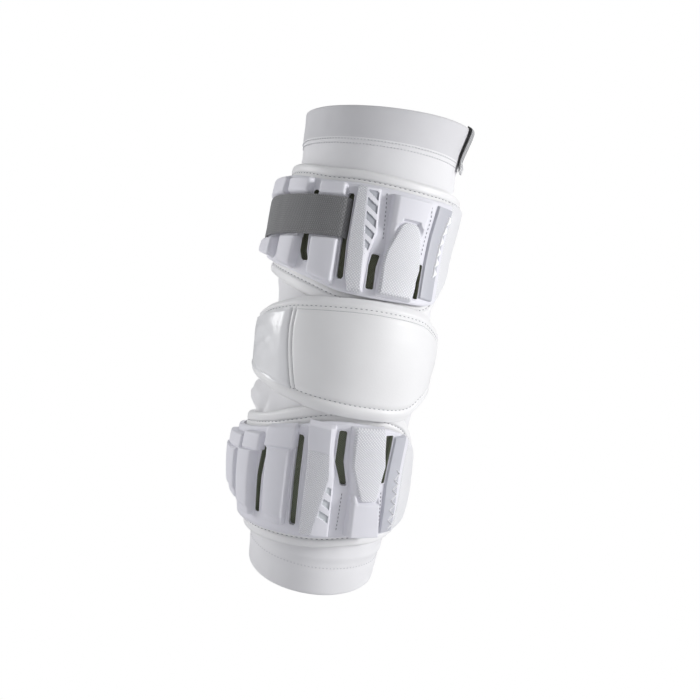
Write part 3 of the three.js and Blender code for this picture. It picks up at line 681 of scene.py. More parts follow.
# For each cap: the side of the elbow, the shell's length, and how far its elbow edge and its far edge shift
# away from the elbow, in rows of degrees round the arm and shares of the length
caps = {
    "upper": {
        "side": 1,
        "length": 73,
        "near": [
            (-115, 0.36), (-85, 0.26), (-60, 0.16), (-34, 0.07), (-10, 0),
            (30, 0), (57, 0.05), (72, 0.24), (86, 0.44), (100, 0.44),
        ],
        "far": [
            (-115, 0.06), (-85, 0.06), (-60, 0.04), (-34, 0), (-10, 0),
            (30, -0.01), (57, 0), (72, 0), (86, 0), (100, 0),
        ],
    },
    "lower": {
        "side": -1,
        "length": 87,
        "near": [
            (-115, 0.44), (-85, 0.34), (-65, 0.26), (-29, 0.1), (-2, 0.01),
            (25, 0.01), (53, 0.09), (70, 0.24), (86, 0.41), (100, 0.48),
        ],
        "far": [
            (-115, 0.1), (-85, 0.1), (-65, 0.08), (-29, 0.03), (-2, 0),
            (25, -0.04), (53, -0.05), (70, -0.08), (86, -0.1), (100, -0.1),
        ],
    },
}


def on_cap(cap, deg, s, height):
    """As on_arm, with s measured away from the elbow on the cap's side of it."""
    return on_arm(deg, s * cap["side"], height)


def near_edge(cap, deg):
    return cap_start + cap["length"] * read(cap["near"], deg)


def far_edge(cap, deg):
    return cap_start + cap["length"] * (1 + read(cap["far"], deg))


def past_edges(cap, deg, s):
    """How far a place lies out beyond the nearer of the shell's edges, in mm; less than 0 on the shell."""
    return np.maximum(near_edge(cap, deg) - s, s - far_edge(cap, deg))


def grain_group():
    """Fine pebbled grain of coated leather: small cells with softer dips between them."""
    group, given, out = group_of(
        "pebble_grain", [("Size", "NodeSocketFloat", 0.0012)], [("Height", "NodeSocketFloat")]
    )
    coords = group.nodes.new("ShaderNodeTexCoord")
    cells = group.nodes.new("ShaderNodeTexVoronoi")
    cells.feature = "SMOOTH_F1"
    group.links.new(coords.outputs["Object"], cells.inputs["Vector"])
    group.links.new(maths(group, "DIVIDE", 1.0, given.outputs["Size"]), cells.inputs["Scale"])
    group.links.new(cells.outputs["Distance"], out.inputs["Height"])
    return group


def dots_group():
    """Round dots on a slanted square grid on the UV map: 1 in a dot's middle, 0 between the dots."""
    group, given, out = group_of(
        "dot_grid",
        [("Cloth", "NodeSocketVector", None), ("Pitch", "NodeSocketFloat", 1.2),
         ("Radius", "NodeSocketFloat", 0.35)],
        [("Dot", "NodeSocketFloat")],
    )
    split = group.nodes.new("ShaderNodeSeparateXYZ")
    group.links.new(given.outputs["Cloth"], split.inputs[0])
    across = maths(group, "ADD", split.outputs[0], split.outputs[1])
    along = maths(group, "SUBTRACT", split.outputs[0], split.outputs[1])
    squares = []
    for value in (across, along):
        cell = maths(group, "FRACT", maths(group, "DIVIDE", value, given.outputs["Pitch"]))
        off = maths(group, "SUBTRACT", cell, 0.5)
        squares.append(maths(group, "MULTIPLY", off, off))
    away = maths(group, "SQRT", maths(group, "ADD", *squares))
    dot = group.nodes.new("ShaderNodeMapRange")
    dot.interpolation_type = "SMOOTHSTEP"
    group.links.new(away, dot.inputs["Value"])
    group.links.new(given.outputs["Radius"], dot.inputs["From Max"])
    dot.inputs["From Min"].default_value = 0.08
    dot.inputs["To Min"].default_value = 1.0
    dot.inputs["To Max"].default_value = 0.0
    group.links.new(dot.outputs[0], out.inputs["Dot"])
    return group


pebble_grain = grain_group()
dot_grid = dots_group()
leather_look, tree, _, bump = look_of("white_coated_leather", border_white, 0.48, coat=0.05)
grain = place_group(tree, pebble_grain, Size=0.0011)
raised_by(grain.outputs["Height"], bump, 0.22, 0.00015)
grey_thread = thread_look("grey_thread", seam_grey)


def dotted_look_of(name, dots, ground):
    """Fine raised dots, lighter than the ground between them."""
    look, tree, shader, bump = look_of(name, dots, 0.5)
    raised = cloth_group(tree, dot_grid, Pitch=1.7, Radius=0.45)
    raised_by(raised.outputs["Dot"], bump, 0.6, 0.0004)
    two_tones(tree, shader, raised.outputs["Dot"], ground, dots)
    return look


dotted_white = dotted_look_of("dotted_white_cover", (0.88, 0.88, 0.89), (0.74, 0.74, 0.76))


def pad_rise(cap, deg, s):
    """Height of a pad's outer face over the sleeve."""
    out = past_edges(cap, deg, s)
    roll = roll_height * ramp(1 - ((out - roll_place) / roll_half) ** 2)
    channel = channel_depth * bead(out - channel_place, channel_half) * (out > 0)
    band = soft_ramp(ramp((deg - band_start) / 2.5) * ramp((cap_right - 1 - deg) / 5))
    band = band_rise * band * ramp((5 - out) / 3.5)
    edge = np.sqrt(ramp(1 - ramp((out - border_width + edge_round) / edge_round) ** 2))
    side = round_over(np.minimum(deg - cap_left, cap_right - deg) / side_round)
    soft = 0.18 * ripple(on_cap(cap, deg, s, 0), 0.016, 4) * (out > 1)
    top = pad_thickness - roll_height + roll * side - channel + band + soft
    return seat_gap + 0.25 + (top - 0.25) * (0.35 + 0.65 * edge) * (0.35 + 0.65 * side)


def cap_grid(cap, left, right, out, lips, degs_step=1.5, between=26):
    """Degrees and mm over a cap's layer that reaches out beyond the shell's two edges. lips are how far its
    closest rows lie in from its own edges."""
    ends = np.array([0, 0.4, 1, 2, 3.2])
    degs = np.concatenate([left + ends, np.arange(left + 4.5, right - 4, degs_step), right - ends[::-1]])
    lips = np.array(lips)
    near, far = near_edge(cap, degs), far_edge(cap, degs)
    shares = np.linspace(0, 1, between)
    rows = np.concatenate([
        near[:, None] - out + lips[None, :],
        (near + max(lips[-1] - out, 0) + 0.6)[:, None] * (1 - shares) + (far - 0.6)[:, None] * shares,
        far[:, None] + out - lips[None, ::-1],
    ], axis=1)
    return np.broadcast_to(degs[:, None], rows.shape), rows


def cap_layer(name, cap, grid, low, high, look, sharp=45):
    """A layer of a cap between two heights over the sleeve."""
    deg, s = grid
    top, bottom = on_cap(cap, deg, s, high), on_cap(cap, deg, s, low)
    return skin_piece(name, top, bottom, girth_at(deg), s, look, sharp=sharp)


border_lips = (0, 0.25, 0.8, 1.5, 2.3, 3.2, 4.1, 5, 5.8, 6.3, 6.7, 7.1, 7.5, 8, 8.8, 9.6)
for name, cap in caps.items():
    grid = cap_grid(cap, cap_left, cap_right, border_width, border_lips)
    high = pad_rise(cap, *grid)
    pad = cap_layer(name + "_padded_border", cap, grid, seat_gap, high, leather_look, sharp=60)

    def on_band(deg, s):
        return (deg > band_start + 1) & (deg < cap_right - 3) & (past_edges(cap, deg, s) < 3.5)
    more_looks(pad, (dotted_white, on_band))
    settle(pad, "white_border", name + "_cap_pad")

border_lines = []
for cap in caps.values():
    for edge, out in ((near_edge, -channel_place), (far_edge, channel_place)):
        def channel(deg):
            s = edge(cap, deg) + out
            return on_cap(cap, deg, s, pad_rise(cap, deg, s) + 0.12)
        border_lines.append(channel(evenly(channel, cap_left + 5, cap_right - 6, 3.6)))
border_stitches = stitched("border_stitches", border_lines, grey_thread)
settle(border_stitches, "white_border")

# Caps: dark mesh
# An olive spacer mesh lies between each pad and its shell, and shows in the shell's slots. Its small open
# cells are raised threads on a darker ground.
mesh_thickness = 0.8
mesh_inset = 1.5
# For each cap: the colours of its mesh's holes and threads
mesh_tones = {
    "upper": ((0.025, 0.03, 0.014), (0.13, 0.14, 0.085)),
    "lower": ((0.05, 0.06, 0.037), (0.17, 0.19, 0.125)),
}
mesh_base = pad_top + layer_gap
mesh_looks = {}
for name, cap in caps.items():
    hole_tone, thread_tone = mesh_tones[name]
    look_name = name + "_olive_mesh"
    look, tree, shader, bump = look_of(look_name, thread_tone, 0.8, sheen=0.3, tone=0.2, tone_size=0.012)
    holes = cloth_group(tree, dot_grid, Pitch=1.5, Radius=0.42).outputs["Dot"]
    two_tones(tree, shader, holes, thread_tone, hole_tone)
    raised_by(maths(tree, "SUBTRACT", 1.0, holes), bump, 1.0, 0.0005)
    mesh_looks[name] = look
    grid = cap_grid(cap, shell_left + 1, shell_right - 1, -mesh_inset, (0, 0.5), degs_step=2)
    lining = cap_layer(name + "_spacer_mesh", cap, grid, mesh_base, mesh_base + mesh_thickness, look)
    settle(lining, "dark_mesh", name + "_mesh")

# Caps: moulded shells
# Each shell is one sheet of pale grey moulded foam, sewn down by its edge. Four slots are cut through it
# between the ribs, and a low lip runs round each. The outer slots' walls are lined with the mesh.
shell_thickness = 3
foam_grey = (0.75, 0.745, 0.795)
shell_base = mesh_base + mesh_thickness + layer_gap
shell_top = shell_base + shell_thickness
# For each cap: its slots, as rows of place along the shell, left side and right side in degrees
slots = {
    "upper": [
        [(0.21, -41, -35.8), (0.3, -43.6, -38), (0.45, -43.8, -38.6), (0.89, -40.5, -36.6)],
        [(0.09, -15.2, -10.6), (0.4, -16, -12.2), (0.89, -16.6, -12.4)],
        [(0.05, 4, 9.3), (0.24, 3.5, 8.8), (0.36, 4.5, 10.2)],
        [(0.05, 36.4, 40.6), (0.36, 36.8, 40.8)],
    ],
    "lower": [
        [(0.33, -46.5, -42), (0.6, -48.3, -44), (0.92, -48, -44)],
        [(0.13, -22.4, -17.6), (0.5, -21.6, -16.6), (0.92, -20, -15)],
        [(0.05, 3.6, 9), (0.3, 4.2, 10.2), (0.5, 10.4, 15)],
        [(0.07, 34.5, 41.8), (0.25, 37.4, 42.2), (0.48, 38.2, 42.2)],
    ],
}


def foam_look_of(name, colour):
    look, tree, _, bump = look_of(name, colour, 0.55, tone=0.04)
    grain = place_group(tree, pebble_grain, Size=0.0007)
    raised_by(grain.outputs["Height"], bump, 0.15, 0.00012)
    return look


foam_look = foam_look_of("moulded_foam", foam_grey)
dotted_look = dotted_look_of("dotted_foam", (0.96, 0.96, 0.98), (0.69, 0.69, 0.73))


def along_cap(cap, share):
    return cap_start + cap["length"] * np.asarray(share, float)


def outline_of(cap, rows):
    """Rows with their shares of the shell turned into places in mm."""
    return [(along_cap(cap, share), *sides) for share, *sides in rows]


def slot_outline(cap, rows, grow=0.0):
    """A slot's outline with small rounded corners, as places in degrees and mm, grown by that many mm."""
    places, left, right = np.array(outline_of(cap, rows), float).T
    wide = np.degrees(grow / (elbow_width / 2))
    fine = np.linspace(places[0] - grow, places[-1] + grow, 40)
    end = np.minimum(fine - fine[0], fine[-1] - fine) / 1.3
    tuck = np.degrees(1.1 / (elbow_width / 2)) * (1 - round_over(end))
    lefts = np.interp(fine, places, left) - wide + tuck
    rights = np.interp(fine, places, right) + wide - tuck
    return np.concatenate([lefts, rights[::-1]]), np.concatenate([fine, fine[::-1]])


def face_out(mesh):
    """Turns all of a closed mesh's faces outward."""
    turned = bmesh.new()
    turned.from_mesh(mesh)
    bmesh.ops.recalc_face_normals(turned, faces=turned.faces)
    turned.to_mesh(mesh)
    turned.free()


def slot_block(cap, rows, low, high, look):
    """A closed block through the shell, in a slot's outline."""
    deg, s = slot_outline(cap, rows)
    count = len(deg)
    points = np.concatenate([on_cap(cap, deg, s, low), on_cap(cap, deg, s, high)])
    around = [(i, (i + 1) % count, (i + 1) % count + count, i + count) for i in range(count)]
    half = count // 2
    lids = []
    for base in (0, count):
        last = base + count - 1
        lids += [(base + i, base + i + 1, last - i - 1, last - i) for i in range(half - 1)]
    mesh = bpy.data.meshes.new("slot")
    mesh.from_pydata([tuple(p) for p in points], [], around + lids)
    mesh.materials.append(look)
    face_out(mesh)
    return put_in_scene("slot", mesh)


def cut(piece, blocks):
    """Cuts the blocks out of a piece, whose new walls take the blocks' looks, and keeps a plain mesh."""
    for block in blocks:
        modifier = piece.modifiers.new("slot", "BOOLEAN")
        modifier.object = block
        modifier.solver = "EXACT"
        modifier.material_mode = "TRANSFER"
    depsgraph = bpy.context.evaluated_depsgraph_get()
    mesh = bpy.data.meshes.new_from_object(piece.evaluated_get(depsgraph), depsgraph=depsgraph)
    piece.modifiers.clear()
    piece.data = mesh
    for block in blocks:
        bpy.data.objects.remove(block)
    mesh.set_sharp_from_angle(angle=math.radians(45))


def rod(name, lines, radius, look, closed=True, sides=6):
    """Round strips that follow lines of points in metres, as one mesh."""
    points, faces = [], []
    turns = np.radians(np.arange(sides) * 360 / sides)[None, :, None]
    for line in lines:
        count, first = len(line), len(points)
        run = np.roll(line, -1, 0) - np.roll(line, 1, 0) if closed else np.gradient(line, axis=0)
        run /= np.linalg.norm(run, axis=1, keepdims=True)
        side = np.cross(run, line * (1, 1, 0))
        side /= np.linalg.norm(side, axis=1, keepdims=True)
        up = np.cross(side, run)
        rings = line[:, None] + radius * mm * (np.cos(turns) * side[:, None] + np.sin(turns) * up[:, None])
        points += [tuple(p) for p in rings.reshape(-1, 3)]
        for i in range(count if closed else count - 1):
            here, there = first + i * sides, first + (i + 1) % count * sides
            for k in range(sides):
                beside = (k + 1) % sides
                faces.append((here + k, here + beside, there + beside, there + k))
        if not closed:
            faces.append(tuple(first + k for k in range(sides))[::-1])
            faces.append(tuple(first + (count - 1) * sides + k for k in range(sides)))
    mesh = bpy.data.meshes.new(name)
    mesh.from_pydata(points, [], faces)
    face_out(mesh)
    mesh.shade_smooth()
    mesh.materials.append(look)
    return put_in_scene(name, mesh)


def shell_rise(cap, deg, s):
    """Height of a shell's outer face over the sleeve, rounded down along its edges and sides."""
    edge = round_over(-past_edges(cap, deg, s) / 1.6)
    side = round_over(np.minimum(deg - shell_left, shell_right - deg) / 1.8)
    return shell_top - np.minimum(1.5 * (1 - edge) + 1.5 * (1 - side), 2.0)


lip_lines = []
for name, cap in caps.items():
    grid = cap_grid(cap, shell_left, shell_right, 0, (0, 0.15, 0.4, 0.8, 1.3, 1.8), between=40)
    shell = cap_layer(name + "_moulded_shell", cap, grid, shell_base, shell_rise(cap, *grid), foam_look)
    wall_looks = (mesh_looks[name], foam_look, foam_look, mesh_looks[name])
    blocks = []
    for rows, wall_look in zip(slots[name], wall_looks):
        blocks.append(slot_block(cap, rows, shell_base - 0.4, shell_top + 3, wall_look))
        lip_lines.append(on_cap(cap, *slot_outline(cap, rows, grow=0.3), shell_top))
    cut(shell, blocks)
    settle(shell, "grey_foam", name + "_shell")
slot_lips = rod("slot_lips", lip_lines, 0.55, foam_look)
settle(slot_lips, "grey_foam")

# Caps: ribs
# Three notched foam ribs stand on the left of each shell, moulded with steep sides and rounded edges. On the
# upper cap a wide channel across them takes the strap. On the lower cap each has a low block, a step and a
# high block.
rib_base = shell_top + seat_gap
rib_height = 6
rib_full = seat_gap + rib_height
strap_width = 28
strap_place = 81
channel_floor = 2.3
per_degree = math.radians(1) * (elbow_width / 2 + shell_top)
# For each rib: its ends along the shell, its elbow end's slant in mm, and its sides at both ends in degrees
rib_specs = {
    "upper": [
        (0.29, 1.03, -9, -101, -67, -101, -63), (0.15, 1.01, -3.6, -58, -45, -60, -41),
        (0.062, 0.985, -4.2, -34, -16, -35, -17),
    ],
    "lower": [
        (0.38, 0.92, -10, -100, -67, -100, -66), (0.25, 0.98, -4.9, -64, -50, -63, -49),
        (0.1, 0.95, -6, -40, -23.5, -37.5, -22.6),
    ],
}
# For each rib of the lower cap: how far its low block reaches, as a share of the shell, and how much further
# left and right it goes than the high one, in degrees
low_blocks = [(0.13, -3, 4), (0.155, -2, 4.5), (0.18, 3, 2)]
# How far a rib's right corners are rounded: distance in from the end in mm, and degrees
corner = [(0, 2.4), (0.7, 1.1), (2.2, 0)]


def wall_share(out, wall, edge):
    """The share of a block's height at a distance in from its side: a steep wall, then a round edge."""
    return 0.82 * ramp(out / wall) + 0.18 * round_over((out - wall) / edge)


def block_piece(name, cap, outline, height_at, look, wall=0.9, edge=1.0, fine=0.75, root=0.7,
                slant=0, slant_to=0):
    """A moulded block on a shell. outline has rows of place in mm, and left and right in degrees. height_at
    gives its height over the shell from the share across, the degrees and the place. wall and edge are the
    widths of its steep side and its round edge, and root is how deep it stands in the shell. slant shears
    its elbow end, as far as slant_to, in mm."""
    places, left, right = np.array(outline, float).T
    length = places[-1] - places[0]
    ends = np.array([0, 0.12, 0.45, 0.9, 1.3, 1.8, 2.3, 2.9])
    inner = np.linspace(ends[-1], length - ends[-1], max(3, int((length - 2 * ends[-1]) / fine)))[1:-1]
    s = places[0] + np.concatenate([ends, inner, length - ends[::-1]])
    lefts, rights = np.interp(s, places, left), np.interp(s, places, right)
    narrow = (rights - lefts).mean() * per_degree
    sides = ends * min(1, narrow * 0.3 / ends[-1])
    middle = np.linspace(sides[-1], narrow - sides[-1], max(3, int((narrow - 2 * sides[-1]) / fine)))[1:-1]
    shares = np.concatenate([sides, middle, narrow - sides[::-1]])[:, None] / narrow
    deg = lefts + (rights - lefts) * shares
    place = np.broadcast_to(s, deg.shape)
    in_side = np.minimum(deg - lefts, rights - deg) * per_degree
    in_end = np.minimum(place - places[0], places[-1] - place)
    cover = wall_share(in_side, wall, edge) * wall_share(in_end, wall, edge)
    height = -root + (height_at(shares, deg, place) + root) * cover
    place = place + slant * (shares - 0.5) * ramp(1 - (place - places[0] - slant_to) / 8)
    return cap_layer(name, cap, (deg, place), shell_top - root - 0.15, shell_top + height, look, sharp=50)


def eased(stations, s, round_by=0.55):
    """Heights on straight lines between stations, with each corner eased over that many mm each way."""
    place, height = np.array(stations, float).T
    shifts = np.linspace(-round_by, round_by, 5)
    return sum(np.interp(s + shift, place, height) for shift in shifts) / len(shifts)


for name, cap in caps.items():
    for number, (low, high, slant, low_left, low_right, high_left, high_right) in enumerate(rib_specs[name]):
        start, end = along_cap(cap, low), along_cap(cap, high)
        first_left, first_right, slant_to, step_rows = low_left, low_right, 0, []
        if name == "upper":
            clear = strap_width / 2 + 1
            gap_from, gap_to = strap_place - clear, strap_place + clear
            notch = seat_gap + channel_floor
            stations = [
                (start, rib_full * 0.9), (start + 4, rib_full), (gap_from - 0.9, rib_full),
                (gap_from, notch), (gap_to, notch), (gap_to + 0.9, rib_full * 0.88), (end, rib_full * 0.8),
            ]
        else:
            reach, low_more, high_more = low_blocks[number]
            step = start + cap["length"] * reach
            slant_to = step - start
            stations = [
                (start, rib_full * 0.72), (step - 0.7, rib_full * 0.8), (step - 0.2, rib_full * 0.62),
                (step + 0.5, rib_full * 0.62), (step + 1.1, rib_full * 0.98), (end - 8, rib_full),
                (end - 7, rib_full * 0.8), (end, rib_full * 0.72),
            ]
            first_left, first_right = low_left - low_more, low_right + high_more
            step_rows = [(step, first_left, first_right), (step + 1.2, low_left, low_right)]

        def rib_top(share, deg, s):
            crown = 0.5 * (1 - (2 * share - 1) ** 2)
            return eased(stations, s) + crown - 0.3
        outline = [(start + along, first_left, first_right - tuck) for along, tuck in corner] + step_rows
        outline += [(end - along, high_left, high_right - tuck) for along, tuck in reversed(corner)]
        rib = block_piece(f"{name}_foam_rib_{number + 1}", cap, outline, rib_top, foam_look, edge=1.4,
                          slant=slant, slant_to=slant_to)
        settle(rib, "grey_foam", f"{name}_rib_{number + 1}")

# Caps: ridge ribs
# Beside the ribs a taller rib has two slopes that meet on a crest. Its left slope is finely dotted. Slanting
# recessed bars lie on its right slope, all along it on the upper cap and three small ones on the lower cap.
# For each row: place, left side, crest and right side in degrees, and height as a share of the ribs'
ridge_rows = {
    "upper": [
        (0.01, -7, 1, 3, 0.8), (0.12, -10, 0, 3, 1), (0.35, -11, -1, 3, 1), (0.55, -11.5, -3, 6, 1),
        (0.975, -11, -5, 4, 0.9),
    ],
    "lower": [
        (0.02, -16, -1, 2, 0.9), (0.2, -14, 0, 3, 1), (0.42, -13, 2, 6, 1), (0.965, -12, -3.5, 9, 0.9),
    ],
}
# For each cap: the bars' slope, the first one's place, their pitch, the bare share of it, and where they end
ridge_bars = {"upper": (0.75, 59, 9.6, 0.45, 58, 101.89), "lower": (-0.6, 72, 9.5, 0.5, 78, 106)}
bar_depth = 1.1
lower_step = 0.215
# The bars take a darker foam than the slope round them: painted shade in their recesses, deeper on the upper
# cap
bar_shade_looks = {
    "upper": foam_look_of("dark_painted_shade_foam", (0.42, 0.43, 0.47)),
    "lower": foam_look_of("light_painted_shade_foam", (0.6, 0.62, 0.65)),
}
for name, cap in caps.items():
    places, left_at, crest_at, right_at, tall_at = np.array(outline_of(cap, ridge_rows[name]), float).T
    smooth_to = cap_start if name == "upper" else along_cap(cap, lower_step)
    bar_slope, bar_from, bar_pitch, bare, first_bar, last_bar = ridge_bars[name]

    def bars_on(deg, s):
        crest, right = np.interp(s, places, crest_at), np.interp(s, places, right_at)
        face = (deg > crest + 0.9) & (deg < right - 1.9)
        wave = ((s + (deg - crest) * per_degree * bar_slope - bar_from) / bar_pitch) % 1
        return face & (wave > bare) & (s > first_bar) & (s < last_bar)

    def ridge_top(share, deg, s):
        left, crest, right = (np.interp(s, places, side) for side in (left_at, crest_at, right_at))
        on_left = ramp((crest - deg) / (crest - left))
        on_right = ramp((deg - crest) / np.maximum(right - crest, 0.5))
        height = eased(list(zip(places, tall_at * rib_height + seat_gap)), s)
        height = height - on_left ** 1.2 - 2.6 * on_right ** 1.1 - bar_depth * bars_on(deg, s)
        if name == "lower":
            height = height + 0.7 * ramp((smooth_to - s) / 0.7 + 0.5) * (deg < crest)
        return height

    def smooth_on(deg, s):
        return (s < smooth_to) | (deg > np.interp(s, places, crest_at))
    outline = list(zip(places, left_at, right_at))
    ridge = block_piece(name + "_ridge", cap, outline, ridge_top, dotted_look, wall=1.0, edge=0.8, fine=0.4)
    more_looks(ridge, (foam_look, smooth_on), (bar_shade_looks[name], bars_on))
    settle(ridge, "grey_foam", name + "_ridge_rib")

# Caps: bosses and their plates
# A long block with a bevelled left side ends in a smooth raised head at its far end. A finely dotted plate
# lies on it and tucks its rounded tip under the head, in a shallow pocket.
boss_height = 4.2
head_rise = 2.6
pocket_clear = 2.2
plate_thickness = 1.5
# For each row: place as a share of the shell, and left and right side in degrees
boss_rows = {
    "upper": [(0.01, 10, 35), (0.12, 10, 36), (0.45, 12, 36), (0.72, 11, 35), (0.95, 10.5, 38)],
    "lower": [(0.01, 10.5, 34), (0.3, 12.5, 38), (0.52, 16.5, 37.5), (0.64, 17, 38), (0.94, 18.5, 43)],
}
plate_rows = {
    "upper": [
        (0.025, 11.8, 32.5), (0.28, 11.2, 35), (0.4, 12.2, 34.4), (0.57, 16.2, 32.4), (0.66, 18.4, 30.4),
        (0.7, 21, 28),
    ],
    "lower": [(0.005, 12.8, 31.5), (0.3, 14.6, 36.5), (0.61, 24, 34.5)],
}
head_from = {"upper": 0.6, "lower": 0.55}


def inside_by(outline, deg, s):
    """How far a place lies inside an outline, in mm; less than 0 outside."""
    places, left, right = np.array(outline, float).T
    side = np.minimum(deg - np.interp(s, places, left), np.interp(s, places, right) - deg) * per_degree
    return np.minimum(side, np.minimum(s - places[0], places[-1] - s))


for name, cap in caps.items():
    plate_outline = outline_of(cap, plate_rows[name])
    tip = plate_outline[-1][0]
    head = along_cap(cap, head_from[name])
    flat = seat_gap + boss_height

    def boss_top(share, deg, s):
        bevel = 2.4 * ramp(1 - share / 0.16) + ramp((share - 0.9) / 0.1)
        raised = head_rise * ramp((s - head) / 5)
        pocket = ramp((inside_by(plate_outline, deg, s) + pocket_clear) / 0.8)
        return flat - bevel + raised * np.maximum(1 - pocket, ramp(s - tip - 0.8))

    def plate_top(share, *place):
        return flat + seat_gap + plate_thickness + 0.35 * (1 - (2 * share - 1) ** 2) - 0.2
    outline = outline_of(cap, boss_rows[name])
    boss = block_piece(name + "_long_boss", cap, outline, boss_top, foam_look, wall=1.0, edge=1.2, fine=0.6)
    settle(boss, "grey_foam", name + "_boss")
    plate = block_piece(name + "_dotted_plate", cap, plate_outline, plate_top, dotted_look, wall=0.6,
                        fine=0.9, root=0.4 - flat)
    settle(plate, "textured_film", name + "_boss_plate")

# Caps: side wings and zigzag trims
# A smooth satin strip closes each shell on the right, and a low zigzag of lighter foam runs along it.
wing_rise = 1.4
wing_top = seat_gap + wing_rise
trim_thickness = 1.2
trim_teeth = 6
wing_rows = {
    "upper": [(0.06, 40.8, 53), (0.35, 40.9, 53.4), (0.65, 42, 54.5), (0.95, 44.5, 58)],
    "lower": [(0.08, 42.3, 53), (0.5, 42.4, 54), (0.93, 46, 57)],
}
# For each zigzag: how far its teeth swing, their widest and narrowest halves, and its line, all in degrees
zigzag_rows = {
    "upper": (1.0, 1.7, 0.5, [(0.26, 49.6), (0.38, 50.4), (0.66, 51.9), (0.88, 55.5)]),
    "lower": (2.1, 0.75, 0.6, [(0.36, 51.2), (0.5, 51), (0.7, 51.7), (0.9, 53.2)]),
}
satin_look = look_of("satin_wing", (0.5, 0.505, 0.55), 0.35, coat=0.1, tone=0.03)[0]
trim_look = foam_look_of("trim_foam", (0.97, 0.97, 0.98))


def on_wing(*place):
    return wing_top


def trim_top(share, *place):
    return wing_top + trim_thickness - 0.3 + 0.2 * (1 - np.abs(2 * share - 1))


for name, cap in caps.items():
    outline = outline_of(cap, wing_rows[name])
    wing = block_piece(name + "_satin_wing", cap, outline, on_wing, satin_look, wall=0.5, edge=0.5)
    settle(wing, "side_film", name + "_side_wing")
    swing, wide, narrow, line = zigzag_rows[name]
    shares = np.linspace(line[0][0], line[-1][0], trim_teeth * 2 + 1)
    tooth = np.arange(len(shares)) % 2
    middle = np.interp(shares, *np.array(line).T) + np.where(tooth, swing, -swing)
    half = np.where(tooth, wide, narrow)
    outline = list(zip(along_cap(cap, shares), middle - half, middle + half))
    trim = block_piece(name + "_zigzag", cap, outline, trim_top, trim_look, wall=0.4, edge=0.4, fine=0.4,
                       root=1.2 - wing_top)
    settle(trim, "side_film", name + "_zigzag_trim")

# Caps: stitches across the shells
# Grey sewing also runs down the groove between the ridge and the boss, and between the boss and the wing.
groove_lines = {
    "upper": [[(0.5, 10), (0.72, 9), (0.97, 7.5)], [(0.44, 38.2), (0.6, 39), (0.8, 41), (0.96, 40)]],
    "lower": [[(0.56, 12.6), (0.7, 13), (0.93, 13.6)], [(0.55, 41), (0.9, 45.5)]],
}
shell_lines = []
for name, cap in caps.items():
    for rows in groove_lines[name]:
        def groove(share):
            return on_cap(cap, np.interp(share, *np.array(rows).T), along_cap(cap, share), shell_top + 0.15)
        shell_lines.append(groove(evenly(groove, rows[0][0], rows[-1][0], 3.0)))
shell_stitches = stitched("shell_stitches", shell_lines, grey_thread, radius=0.32, share=0.6)
settle(shell_stitches, "grey_foam")

# Elbow wrap
# A padded ring of white coated leather over foam lies over the facing borders of both caps. Its edges are
# rolled and sewn, a double seam crosses it on the left, and it is thin round the inside of the elbow.
wrap_height = 65
wrap_thickness = 12
wrap_edge = 2.3
seam_turn = -33
seam_slant = -4 / 22
seam_bow = 3.2
seam_pair = 3.2
# Rows of degrees, both edges as shares of half the height, and rise as a share of the thickness
wrap_outline = np.array([
    (-180, 0.5, 0.5, 0.32), (-135, 0.48, 0.52, 0.36), (-108, 0.5, 0.58, 0.72), (-82, 0.56, 0.76, 1.06),
    (-62, 0.74, 0.82, 1.0), (-37, 0.87, 0.9, 0.96), (-4, 0.97, 0.95, 1.0), (18, 1.0, 0.98, 1.0),
    (49, 0.97, 1.0, 0.94), (65, 0.84, 0.84, 0.84), (88, 0.62, 0.64, 0.72), (115, 0.5, 0.52, 0.4),
    (180, 0.5, 0.5, 0.32),
])
wrap_profile = ([0, 0.08, 0.3, 0.5, 0.7, 0.92, 1], [0.7, 0.83, 0.89, 0.965, 1, 0.92, 0.7])
top_channel, low_channel, panel_line = 5.4, 7.4, 7.5


def wrap_edges(column):
    top = wrap_height / 2 * read(wrap_outline[:, [0, 1]], column)
    low = -wrap_height / 2 * read(wrap_outline[:, [0, 2]], column)
    return low, top


def wrap_turn(column, s):
    """Degrees of a column at a place: the columns near the double seam slant and bow with it."""
    bow = seam_bow * (1 - (s / (wrap_height * 0.4)) ** 2)
    return column + (seam_slant * s - bow) * bead(column - seam_turn, 14)


def wrap_base(column, s):
    """Height of the wrap's underside: up on the caps' borders near its edges, on the sleeve between them."""
    climb, climb_ends = 2, 3
    turn = wrap_turn(column, s)
    over = np.zeros_like(turn)
    for cap in caps.values():
        border = near_edge(cap, turn) - border_width
        reach = ramp((s * cap["side"] - border + 2.6) / climb)
        ends = ramp((turn - cap_left + 4) / climb_ends) * ramp((cap_right + 4 - turn) / climb_ends)
        over = np.maximum(over, reach * ends)
    return seat_gap + (pad_top + 1 - seat_gap) * over * over * (3 - 2 * over)


